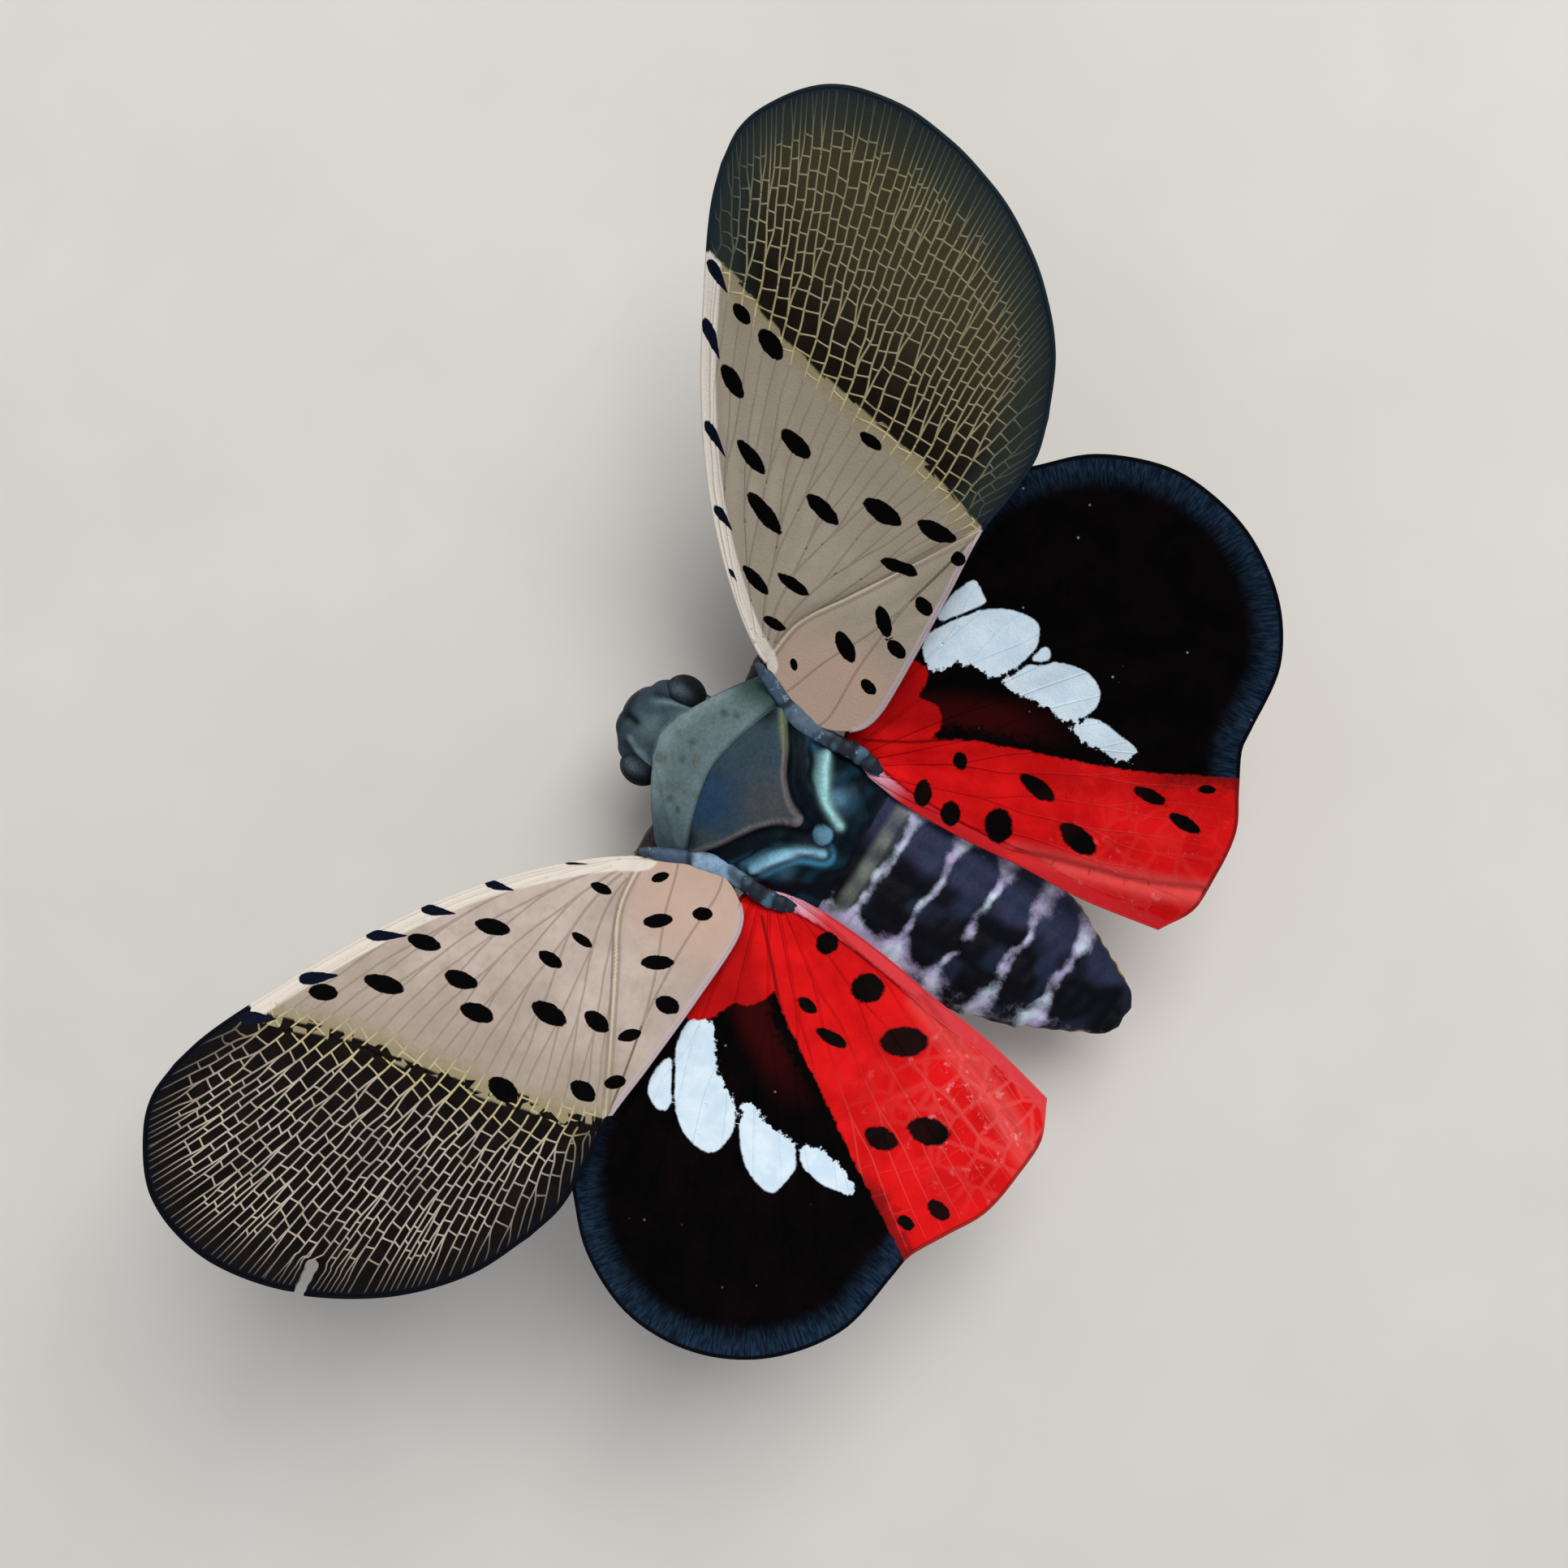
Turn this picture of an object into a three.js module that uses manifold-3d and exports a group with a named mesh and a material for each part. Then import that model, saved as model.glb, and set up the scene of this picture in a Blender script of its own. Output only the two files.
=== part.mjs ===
// A spotted lanternfly with its wings spread, life size and still, standing on six legs.
// Millimetres. The head looks along -Y, the insect's left side is +X and the floor is at Z = 0.
// Everything is worked out in the body's own frame: its origin lies on the midline at the front
// edge of the pronotum, level with the thorax's widest line plus a little, and the last lines
// set that frame on the floor.
import * as THREE from "three";
import { mergeVertices } from "three/addons/utils/BufferGeometryUtils.js";
import Module from "manifold-3d";

const wasm = await Module();
wasm.setup();

// Stance
const BODY_HEIGHT = 6.4; // body frame's origin above the floor
const MIDDLE_Y = 5.06; // middle of the overall length, in the body frame
const FLOOR = -BODY_HEIGHT;
const GAP = 0.22; // clearance between pieces that meet face to face

// Wings: hinge, pose and thickness
const MEMBRANE = 0.5;
const VEIN_RISE = 0.16;
const VEIN_HALF_WIDTH = 0.22;
const NARROWEST = 1e-3; // keeps a wing's width above nothing where its edges meet in a point
const FOREWING = { hinge: [3.6, 1.1, 0.75], raised: 28, twist: 0, dome: 0.35 };
const HINDWING = { hinge: [3.0, 5.0, -0.4], raised: 24, twist: 5, dome: 0.25 };
const INNER_EDGE_LIFT = 0.4; // how far the hindwing's inner edge curls up over the abdomen

// Head and its parts
const HEAD_FRONT = -2.2;
const HEAD_HALF_WIDTH = 1.5;
const EYE = { centre: [1.62, -0.6, -0.5], radii: [0.5, 0.52, 0.78], flat: 1.72 };

// Abdomen
const ABDOMEN_START = 6.95;
const ABDOMEN_LENGTH = 10.2;
const SEGMENTS = 6;
const SEGMENT_STEP = 0.12; // how far each segment's rear edge stands over the next one

// Legs: points on the left side from the socket on the thorax to the tip of the foot
const LEGS = {
  fore: { socket: [1.25, 0.95, -2.6], knee: [4.5, 0.85, -2.25], ankle: [7.1, 0.2, -6.05], toe: [8.7, -0.4] },
  mid: { socket: [1.75, 3.2, -2.9], knee: [5.4, 4.3, -2.1], ankle: [8.4, 4.7, -6.05], toe: [10.1, 4.9] },
  hind: { socket: [1.7, 5.6, -3.0], knee: [5.3, 8.2, -2.6], ankle: [7.3, 12.6, -6.05], toe: [8.1, 14.6] },
};
const SOCKET_REACH = 0.85; // how far the boss that carries a leg stands out from its socket
const COXA_RADIUS = 0.5;
const FEMUR_RADIUS = 0.42;
const KNEE_RADIUS = 0.3;
const TIBIA_RADIUS = 0.27;
const FOOT_RADIUS = 0.28;
const SPINE_LENGTH = 0.5;
const CLAW_LENGTH = 0.42;

// Finishes
const finish = (color, roughness) => new THREE.MeshStandardMaterial({ color, roughness, metalness: 0 });
const CUTICLE = finish(0x4a5558, 0.6);
const DARK_CUTICLE = finish(0x23282e, 0.55);
const EYE_BROWN = finish(0x2a211d, 0.25);
const ANTENNA_ORANGE = finish(0xc8501c, 0.5);
const LEG_BLACK = finish(0x1a1614, 0.5);
const FOREWING_TAN = finish(0xbfae9c, 0.55);
const HINDWING_RED = finish(0xc81f1c, 0.5);

const vector = (x, y, z) => new THREE.Vector3(x, y, z);
const lerp = THREE.MathUtils.lerp;
const radians = THREE.MathUtils.degToRad;

// An indexed geometry with its faces turned outwards.
function closedGeometry(points, triangles) {
  let volume = 0;
  for (const [a, b, c] of triangles) volume += points[a].dot(points[b].clone().cross(points[c]));
  const outward = volume > 0 ? triangles : triangles.map(([a, b, c]) => [a, c, b]);
  const geometry = new THREE.BufferGeometry().setFromPoints(points);
  geometry.setIndex(outward.flat());
  return geometry;
}

// Rings of equal length joined along their order, each end closed by a fan round the ring's middle.
function loft(rings) {
  const count = rings[0].length;
  const points = rings.flat();
  const triangles = [];
  for (let k = 0; k + 1 < rings.length; k++) {
    for (let i = 0; i < count; i++) {
      const a = k * count + i;
      const b = k * count + ((i + 1) % count);
      triangles.push([a, b, b + count], [a, b + count, a + count]);
    }
  }
  [0, rings.length - 1].forEach((k) => {
    const middle = vector(0, 0, 0);
    rings[k].forEach((p) => middle.addScaledVector(p, 1 / count));
    const hub = points.push(middle) - 1;
    for (let i = 0; i < count; i++) {
      const a = k * count + i;
      const b = k * count + ((i + 1) % count);
      triangles.push(k === 0 ? [b, a, hub] : [a, b, hub]);
    }
  });
  return closedGeometry(points, triangles);
}

// The same geometry on the insect's other side.
function mirrored(geometry) {
  const other = geometry.clone().scale(-1, 1, 1);
  const index = other.index.array;
  for (let i = 0; i < index.length; i += 3) [index[i + 1], index[i + 2]] = [index[i + 2], index[i + 1]];
  return other;
}

// Booleans: geometry to solid and back.
function solidOf(geometry) {
  const bare = geometry.clone();
  bare.deleteAttribute("normal");
  bare.deleteAttribute("uv");
  const merged = mergeVertices(bare, 1e-4);
  return new wasm.Manifold(
    new wasm.Mesh({
      numProp: 3,
      vertProperties: new Float32Array(merged.attributes.position.array),
      triVerts: new Uint32Array(merged.index.array),
    }),
  );
}

function geometryOf(solid) {
  const mesh = solid.getMesh();
  const geometry = new THREE.BufferGeometry();
  geometry.setAttribute("position", new THREE.BufferAttribute(new Float32Array(mesh.vertProperties), 3));
  geometry.setIndex([...mesh.triVerts]);
  return geometry;
}

// Joins the geometries and keeps the largest closed surface.
function fused(...geometries) {
  const whole = geometries.map(solidOf).reduce((sum, next) => sum.add(next));
  const bodies = whole.decompose().sort((a, b) => b.volume() - a.volume());
  return geometryOf(bodies[0]);
}

const cut = (geometry, tool) => geometryOf(solidOf(geometry).subtract(solidOf(tool)));

// One cross-section of the body. It is a rounded section, blunter above than below, and its
// sides are carried back by `sweep` along the insect, as the collar of the pronotum is.
function bodyRing({ y, width, top, bottom, sweep = 0, keel = 0, sides = 20 }) {
  const middle = lerp(bottom, top, 0.55);
  const ring = [];
  for (let i = 0; i < sides; i++) {
    const angle = (2 * Math.PI * i) / sides;
    const bluntness = Math.sin(angle) > 0 ? 2.25 : 1.75;
    const across = Math.sign(Math.cos(angle)) * Math.abs(Math.cos(angle)) ** (2 / bluntness);
    const up = Math.abs(Math.sin(angle)) ** (2 / bluntness);
    const onKeel = 4 * i === sides ? keel : 0;
    const z = Math.sin(angle) > 0 ? lerp(middle, top, up) + onKeel : lerp(middle, bottom, up);
    ring.push(vector(width * across, y + sweep * Math.abs(across) ** 1.5, z));
  }
  return ring;
}

// A tube through the given points. Each end lies in its own plane, so that two limbs that meet
// at an angle face each other along the mitre between them.
function limb(points, radii, { startNormal, endNormal, sides = 8, flatAt } = {}) {
  const rings = points.map((point, k) => {
    const before = points[Math.max(k - 1, 0)];
    const after = points[Math.min(k + 1, points.length - 1)];
    const along = after.clone().sub(before).normalize();
    const across = along.clone().cross(vector(0, 0, 1)).normalize();
    const up = across.clone().cross(along).normalize();
    const normal = (k === 0 && startNormal) || (k === points.length - 1 && endNormal) || along;
    const ring = [];
    for (let i = 0; i < sides; i++) {
      const angle = (2 * Math.PI * (i + 0.5)) / sides;
      const offset = across.clone().multiplyScalar(radii[k] * Math.cos(angle));
      offset.addScaledVector(up, radii[k] * Math.sin(angle));
      offset.addScaledVector(along, -offset.dot(normal) / along.dot(normal));
      const p = point.clone().add(offset);
      if (flatAt !== undefined) p.z = Math.max(p.z, flatAt);
      ring.push(p);
    }
    return ring;
  });
  return loft(rings);
}

// Body. Two keels run down the face from the front corners of the crown.
function buildHead() {
  const shell = loft([
    bodyRing({ y: HEAD_FRONT, width: 0.75, top: 0.12, bottom: -1.0, sweep: 0.25 }),
    bodyRing({ y: -1.98, width: 1.2, top: 0.3, bottom: -1.8, sweep: 0.35 }),
    bodyRing({ y: -1.6, width: HEAD_HALF_WIDTH - 0.05, top: 0.38, bottom: -2.5, sweep: 0.4 }),
    bodyRing({ y: -0.95, width: HEAD_HALF_WIDTH, top: 0.45, bottom: -2.75, sweep: 0.5 }),
  ]);
  const keels = [-1, 1].map((side) => {
    const path = [[0.45, -2.12, 0.05], [0.45, -2.12, -0.84], [0.45, -1.93, -1.66], [0.42, -1.55, -2.36]];
    const points = path.map(([x, y, z]) => vector(side * x, y, z));
    return limb(points, [0.12, 0.15, 0.15, 0.12], { sides: 6 });
  });
  return fused(shell, ...keels);
}

function buildEye() {
  const ball = new THREE.SphereGeometry(1, 14, 10);
  ball.rotateX(Math.PI / 2);
  ball.scale(...EYE.radii);
  ball.translate(...EYE.centre);
  const inside = new THREE.BoxGeometry(4, 4, 4).translate(EYE.flat - 2, EYE.centre[1], EYE.centre[2]);
  return cut(ball, inside);
}

function buildAntenna() {
  const root = vector(1.42, -0.85, -2.0);
  const swelling = vector(1.62, -0.87, -2.22);
  const shoulder = vector(1.73, -0.85, -2.52);
  const bristle = vector(1.76, -0.75, -2.98);
  const tip = vector(1.7, -0.6, -3.55);
  return limb([root, swelling, shoulder, bristle, tip], [0.22, 0.34, 0.26, 0.12, 0.06], { sides: 8 });
}

function buildRostrum() {
  const points = [vector(0, -1.3, -3.0), vector(0, -0.7, -3.5), vector(0, 2.2, -3.95), vector(0, 5.2, -4.05)];
  return limb(points, [0.38, 0.3, 0.27, 0.22], { startNormal: vector(0, 0, -1) });
}

function buildPronotum() {
  return loft([
    bodyRing({ y: -0.7, width: 3.3, top: 0.75, bottom: -2.2, sweep: 1.75, keel: 0.06 }),
    bodyRing({ y: 0.0, width: 3.42, top: 0.98, bottom: -2.45, sweep: 1.45, keel: 0.08 }),
    bodyRing({ y: 0.7, width: 3.48, top: 1.1, bottom: -2.65, sweep: 1.15, keel: 0.08 }),
    bodyRing({ y: 1.3, width: 3.45, top: 1.15, bottom: -2.8, sweep: 0.9, keel: 0.06 }),
  ]);
}

function buildMesothorax() {
  const trunk = loft([
    bodyRing({ y: 1.3 + GAP, width: 3.2, top: 1.12, bottom: -2.85, sweep: 0.9 }),
    bodyRing({ y: 2.4, width: 3.18, top: 1.28, bottom: -3.15, sweep: 0.3 }),
    bodyRing({ y: 3.5, width: 3.08, top: 1.2, bottom: -3.35, sweep: -0.5 }),
    bodyRing({ y: 4.65, width: 2.9, top: 0.98, bottom: -3.45, sweep: -1.2 }),
  ]);
  return trunk;
}

function buildMetathorax() {
  const trunk = loft([
    bodyRing({ y: 4.65 + GAP, width: 2.8, top: 0.9, bottom: -3.45, sweep: -1.2 }),
    bodyRing({ y: 5.7, width: 2.72, top: 0.55, bottom: -3.4, sweep: -0.5 }),
    bodyRing({ y: ABDOMEN_START - GAP, width: 2.7, top: 0.12, bottom: -3.3 }),
  ]);
  const tubercle = new THREE.SphereGeometry(0.34, 8, 6).translate(0, 5.6, 0.62);
  return fused(trunk, tubercle);
}

function buildAbdomen() {
  const length = ABDOMEN_LENGTH;
  const section = (share, step) => ({
    y: ABDOMEN_START + share * length,
    width: 2.75 + 1.25 * share - 3.9 * share ** 3 + 0.65 * share ** 8 + step,
    top: 0.08 - 0.75 * share - 1.0 * share ** 4 + step,
    bottom: -3.2 + 0.2 * share + 1.15 * share ** 4 - step,
  });
  const rings = [];
  for (let k = 0; k < SEGMENTS; k++) {
    rings.push(bodyRing({ ...section(k / SEGMENTS, 0), sides: 18 }));
    rings.push(bodyRing({ ...section((k + 0.9) / SEGMENTS, SEGMENT_STEP), sides: 18 }));
  }
  rings.push(bodyRing({ ...section(1, -0.1), sides: 18 }));
  rings.push(bodyRing({ y: ABDOMEN_START + length + 0.35, width: 0.28, top: -1.6, bottom: -2.05, sides: 18 }));
  return loft(rings);
}

// Wings. A wing is drawn flat first, out along u and back along v from its hinge, then domed,
// given its thickness and its raised veins, and turned into its pose.
const edge = (points) =>
  new THREE.CatmullRomCurve3(points.map(([u, v]) => vector(u, v, 0)), false, "centripetal");

// A point between four edges: `front` and `rear` run outwards, `base` and `rim` run backwards.
function between({ front, rear, base, rim }, s, t) {
  const point = vector(0, 0, 0);
  point.addScaledVector(front(s), 1 - t).addScaledVector(rear(s), t);
  point.addScaledVector(base(t), 1 - s).addScaledVector(rim(t), s);
  point.addScaledVector(front(0), -(1 - s) * (1 - t)).addScaledVector(front(1), -s * (1 - t));
  point.addScaledVector(rear(0), -(1 - s) * t).addScaledVector(rear(1), -s * t);
  return point;
}

const along = (curve) => (share) => curve.getPointAt(THREE.MathUtils.clamp(share, 0, 1));

// Forewing outline: leading edge, rounded tip, rear edge to the tip of the clavus, clavus, base.
// The suture that parts the clavus from the rest starts at the wing's root, where all veins meet.
const CLAVUS_TIP = [8.2, 3.42];
const foreFront = along(edge([[0.1, -0.1], [1.2, -1.5], [4.0, -4.05], [7.3, -6.05], [10.6, -7.55], [13.6, -8.48]]));
const foreRim = along(
  edge([[13.6, -8.48], [15.6, -8.15], [17.2, -6.75], [17.85, -4.5], [17.3, -1.7], [15.9, 0.75], [14.1, 2.4], [12.3, 3.25]]),
);
const foreRear = along(edge([[12.3, 3.25], [11.1, 3.58], [9.6, 3.56], CLAVUS_TIP].reverse()));
const suture = along(edge([[0.1, -0.1], [2.0, 0.15], [3.8, 1.1], [5.3, 1.9], [6.9, 2.75], CLAVUS_TIP]));
const clavusRear = along(edge([[-0.3, 3.35], [0.6, 3.8], [3.2, 3.78], [5.9, 3.6], CLAVUS_TIP]));
const clavusBase = along(edge([[0.1, -0.1], [-0.5, 0.9], [-0.7, 2.1], [-0.3, 3.35]]));

// Hindwing outline: leading edge under the forewing, round lobe, notch, fan and inner edge.
const hindFront = along(edge([[0.0, -0.45], [2.6, -1.0], [6.5, -1.25], [9.6, -1.0], [11.2, -0.25]]));
const hindRim = along(
  edge([
    [11.2, -0.25], [12.6, 1.15], [13.55, 3.2], [13.55, 5.4], [12.6, 7.5], [10.6, 9.2], [8.3, 9.72], [7.6, 9.92],
    [6.3, 10.6], [5.1, 11.3], [3.5, 11.62], [2.2, 11.72], [0.9, 11.25],
  ]),
);
const hindInner = along(edge([[-0.3, 0.55], [-0.42, 2.4], [-0.3, 4.5], [0.0, 6.6], [0.3, 8.8], [0.9, 11.25]]));
const hindBase = along(edge([[0.0, -0.45], [-0.2, 0.0], [-0.3, 0.55]]));

// Share of the way across at which each grid line runs, three to a vein: foot, crest, foot.
// A rim line closes each side, raised as the leading edge is or level as a rear edge is.
function veinLines(veins, width, { frontRise = 1, rearRise = 0 } = {}) {
  const spacing = 1 / (veins.length + 1);
  const half = Math.min(VEIN_HALF_WIDTH / width, 0.33 * spacing);
  const lines = [{ t: 0, rise: frontRise }];
  if (frontRise) lines.push({ t: half, rise: 0 });
  for (const t of veins) lines.push({ t: t - half, rise: 0 }, { t, rise: 1 }, { t: t + half, rise: 0 });
  if (rearRise) lines.push({ t: 1 - half, rise: 0 });
  lines.push({ t: 1, rise: rearRise });
  return lines;
}

// Both faces of a membrane and the strip round its edge, from patches of grid points that share
// their common lines. A point holds its place in the wing (x, y), its dome (z) and its rise.
function membrane(patches) {
  const points = [];
  const numbers = new Map();
  const numberOf = (p) => {
    const key = [p.x, p.y].map((value) => Math.round(value * 1e4)).join();
    if (!numbers.has(key)) numbers.set(key, points.push(p) - 1);
    return numbers.get(key);
  };
  const sheet = [];
  for (const grid of patches) {
    for (let i = 0; i + 1 < grid.length; i++) {
      for (let j = 0; j + 1 < grid[i].length; j++) {
        const corners = [grid[i][j], grid[i + 1][j], grid[i + 1][j + 1], grid[i][j + 1]].map(numberOf);
        const [a, b, c, d] = corners;
        const halves = [[a, b, c], [a, c, d]];
        for (const half of halves) if (new Set(half).size === 3) sheet.push(half);
      }
    }
  }
  const count = points.length;
  const upper = points.map((p) => vector(p.x, p.y, p.z + MEMBRANE / 2 + VEIN_RISE * p.rise));
  const lower = points.map((p) => vector(p.x, p.y, p.z - MEMBRANE / 2));
  const triangles = [...sheet, ...sheet.map(([a, b, c]) => [a + count, c + count, b + count])];
  const edges = new Map();
  for (const [a, b, c] of sheet) for (const [m, n] of [[a, b], [b, c], [c, a]]) edges.set(m + "," + n, [m, n]);
  for (const [m, n] of edges.values()) {
    if (!edges.has(n + "," + m)) triangles.push([n, m, m + count], [n, m + count, n + count]);
  }
  return closedGeometry([...upper, ...lower], triangles);
}

const STATIONS = [0, 0.05, 0.12, 0.2, 0.28, 0.36, 0.44, 0.52, 0.6, 0.68, 0.76, 0.84, 0.92, 1];
const SUTURE_ENDS = 8; // number of the station at which the suture reaches the clavus tip
const FORE_VEINS = [0.11, 0.26, 0.41, 0.56, 0.71, 0.86];
const CLAVUS_VEINS = [0.32, 0.66];
const HIND_VEINS = [0.13, 0.26, 0.39, 0.51, 0.63, 0.76, 0.88]; // the fifth ends at the notch

function buildForewing() {
  const share = STATIONS[SUTURE_ENDS];
  const rear = (s) => (s <= share ? suture(s / share) : foreRear((s - share) / (1 - share)));
  const corium = { front: foreFront, rear, base: () => suture(0), rim: foreRim };
  const clavus = { front: suture, rear: clavusRear, base: clavusBase, rim: () => suture(1) };
  const dome = (p, s, t) => Object.assign(p, { z: FOREWING.dome * Math.sin(Math.PI * t) * s });
  const main = STATIONS.map((s) => {
    const lines = veinLines(FORE_VEINS, rear(s).distanceTo(foreFront(s)) + NARROWEST, { rearRise: 1 });
    return lines.map(({ t, rise }) => Object.assign(dome(between(corium, s, t), s, t), { rise }));
  });
  const back = STATIONS.slice(0, SUTURE_ENDS + 1).map((s) => {
    const at = s / share;
    const lines = veinLines(CLAVUS_VEINS, suture(at).distanceTo(clavusRear(at)) + NARROWEST);
    return lines.map(({ t, rise }) => {
      const point = between(clavus, at, t);
      return Object.assign(point, { z: 0, rise: at === 1 ? 1 : rise });
    });
  });
  return membrane([main, back]);
}

function buildHindwing() {
  const fan = { front: hindFront, rear: hindInner, base: hindBase, rim: hindRim };
  const grid = STATIONS.map((s) => {
    const lines = veinLines(HIND_VEINS, hindInner(s).distanceTo(hindFront(s)));
    return lines.map(({ t, rise }) => {
      const curl = INNER_EDGE_LIFT * THREE.MathUtils.smoothstep(t, 0.7, 1) * Math.min(1, 5 * s);
      return Object.assign(between(fan, s, t), { z: HINDWING.dome * Math.sin(Math.PI * t) * s + curl, rise });
    });
  });
  return membrane([grid]);
}

function posed(geometry, { hinge, raised, twist }) {
  return geometry.rotateX(radians(twist)).rotateY(-radians(raised)).translate(...hinge);
}

// Legs. The socket is a short boss on the thorax. The femur starts GAP away from it.
const toward = (from, to, distance) => from.clone().addScaledVector(to.clone().sub(from).normalize(), distance);

function legPoints(name) {
  const leg = LEGS[name];
  const footHeight = FLOOR + FOOT_RADIUS * 0.75;
  return {
    socket: vector(...leg.socket),
    knee: vector(...leg.knee),
    ankle: vector(...leg.ankle),
    toe: vector(...leg.toe, footHeight),
  };
}

const mitre = (before, corner, after) =>
  corner.clone().sub(before).normalize().add(after.clone().sub(corner).normalize()).normalize();

function buildSocket(name) {
  const { socket, knee } = legPoints(name);
  return limb([socket, toward(socket, knee, SOCKET_REACH)], [COXA_RADIUS + 0.08, COXA_RADIUS], {});
}

function buildFemur(name) {
  const { socket, knee, ankle } = legPoints(name);
  const start = toward(socket, knee, SOCKET_REACH + GAP);
  const bend = mitre(socket, knee, ankle);
  const stops = [0, 0.14, 0.24, 0.5, 0.8, 1].map((share) => start.clone().lerp(knee, share));
  stops[5] = toward(knee, start, GAP / 2);
  const radii = [COXA_RADIUS - 0.05, COXA_RADIUS - 0.08, 0.33, FEMUR_RADIUS, 0.36, KNEE_RADIUS];
  return limb(stops, radii, { endNormal: bend });
}

function buildTibia(name) {
  const { socket, knee, ankle, toe } = legPoints(name);
  const stops = [toward(knee, ankle, GAP / 2), knee.clone().lerp(ankle, 0.2), knee.clone().lerp(ankle, 0.8)];
  stops.push(toward(ankle, knee, GAP / 2));
  const tube = limb(stops, [KNEE_RADIUS, TIBIA_RADIUS, TIBIA_RADIUS, TIBIA_RADIUS + 0.02], {
    startNormal: mitre(socket, knee, ankle),
    endNormal: mitre(knee, ankle, toe),
  });
  if (name !== "hind") return tube;
  const outwards = vector(1, 0, 0.2).normalize();
  const spines = [0.3, 0.5, 0.7, 0.86].map((share) => {
    const root = knee.clone().lerp(ankle, share);
    const tip = root.clone().addScaledVector(outwards, TIBIA_RADIUS + SPINE_LENGTH);
    tip.addScaledVector(ankle.clone().sub(knee).normalize(), SPINE_LENGTH * 0.7);
    return limb([root, tip], [0.15, 0.03], { sides: 5 });
  });
  return fused(tube, ...spines);
}

function buildFoot(name) {
  const { knee, ankle, toe } = legPoints(name);
  const start = toward(ankle, toe, GAP / 2);
  const stops = [start, start.clone().lerp(toe, 0.3), start.clone().lerp(toe, 0.75), toe];
  stops[1].z = lerp(start.z, toe.z, 0.8);
  stops[2].z = toe.z;
  const tube = limb(stops, [FOOT_RADIUS, FOOT_RADIUS, 0.25, 0.2], {
    startNormal: mitre(knee, ankle, toe),
    flatAt: FLOOR,
  });
  const ahead = toe.clone().sub(ankle).setZ(0).normalize();
  const claws = [-1, 1].map((side) => {
    const splay = vector(-ahead.y * side, ahead.x * side, 0);
    const root = toe.clone().addScaledVector(ahead, -0.12).addScaledVector(splay, 0.06);
    const bend = root.clone().addScaledVector(ahead, 0.6 * CLAW_LENGTH).addScaledVector(splay, 0.14);
    const tip = bend.clone().addScaledVector(ahead, 0.5 * CLAW_LENGTH).addScaledVector(splay, 0.05);
    bend.z += 0.06;
    return limb([root, bend, tip], [0.1, 0.08, 0.03], { sides: 5, flatAt: FLOOR });
  });
  return fused(tube, ...claws);
}

// The insect
const lanternfly = new THREE.Group();
const body = new THREE.Group();
body.position.set(0, -MIDDLE_Y, BODY_HEIGHT);
lanternfly.add(body);

function add(name, geometry, material) {
  geometry.computeVertexNormals();
  const mesh = new THREE.Mesh(geometry, material);
  mesh.name = name;
  body.add(mesh);
}

function addPair(name, geometry, material) {
  add(name + "_left", geometry, material);
  add(name + "_right", mirrored(geometry), material);
}

// The thorax pieces carry the bosses that the legs grow from.
function withSockets(trunk, name) {
  const socket = buildSocket(name);
  return fused(trunk, socket, mirrored(socket));
}

add("head", buildHead(), CUTICLE);
add("rostrum", buildRostrum(), DARK_CUTICLE);
add("pronotum", withSockets(buildPronotum(), "fore"), CUTICLE);
add("mesothorax", withSockets(buildMesothorax(), "mid"), DARK_CUTICLE);
add("metathorax", withSockets(buildMetathorax(), "hind"), DARK_CUTICLE);
add("abdomen", buildAbdomen(), DARK_CUTICLE);
addPair("eye", buildEye(), EYE_BROWN);
addPair("antenna", buildAntenna(), ANTENNA_ORANGE);
addPair("forewing", posed(buildForewing(), FOREWING), FOREWING_TAN);
addPair("hindwing", posed(buildHindwing(), HINDWING), HINDWING_RED);
for (const name of Object.keys(LEGS)) {
  addPair(name + "_femur", buildFemur(name), LEG_BLACK);
  addPair(name + "_tibia", buildTibia(name), LEG_BLACK);
  addPair(name + "_foot", buildFoot(name), LEG_BLACK);
}

export default lanternfly;
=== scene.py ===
import bpy
import numpy as np
from mathutils import Matrix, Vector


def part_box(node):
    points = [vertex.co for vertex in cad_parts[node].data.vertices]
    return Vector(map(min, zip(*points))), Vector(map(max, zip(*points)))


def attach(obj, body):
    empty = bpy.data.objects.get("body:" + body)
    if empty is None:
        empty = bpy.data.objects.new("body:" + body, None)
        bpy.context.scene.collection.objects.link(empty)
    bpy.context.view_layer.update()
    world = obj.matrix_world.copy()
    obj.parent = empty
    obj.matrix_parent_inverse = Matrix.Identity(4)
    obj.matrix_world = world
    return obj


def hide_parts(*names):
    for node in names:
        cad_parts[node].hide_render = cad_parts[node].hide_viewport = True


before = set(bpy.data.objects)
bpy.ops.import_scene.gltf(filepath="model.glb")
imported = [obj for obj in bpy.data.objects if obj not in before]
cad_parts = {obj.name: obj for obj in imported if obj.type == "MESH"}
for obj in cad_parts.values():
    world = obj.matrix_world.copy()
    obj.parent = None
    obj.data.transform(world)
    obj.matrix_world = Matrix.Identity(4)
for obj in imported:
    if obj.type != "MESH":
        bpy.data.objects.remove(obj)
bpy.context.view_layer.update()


# Body skin
# Head, thorax and abdomen are one case of thin, dull cuticle, dusted with wax. The pronotum lies
# over the front of the mesonotum like a collar, and the abdomen's plates overlap to the rear.
MM = 0.001
PRONOTUM_FRONT = -0.7  # where the pronotum starts on the midline, in the body's own frame
PRONOTUM_TOP = 1.21
pronotum_low, pronotum_high = np.array(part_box("pronotum"))
body_origin = np.array([0.0, pronotum_low[1] - PRONOTUM_FRONT * MM, pronotum_high[2] - PRONOTUM_TOP * MM])
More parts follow.
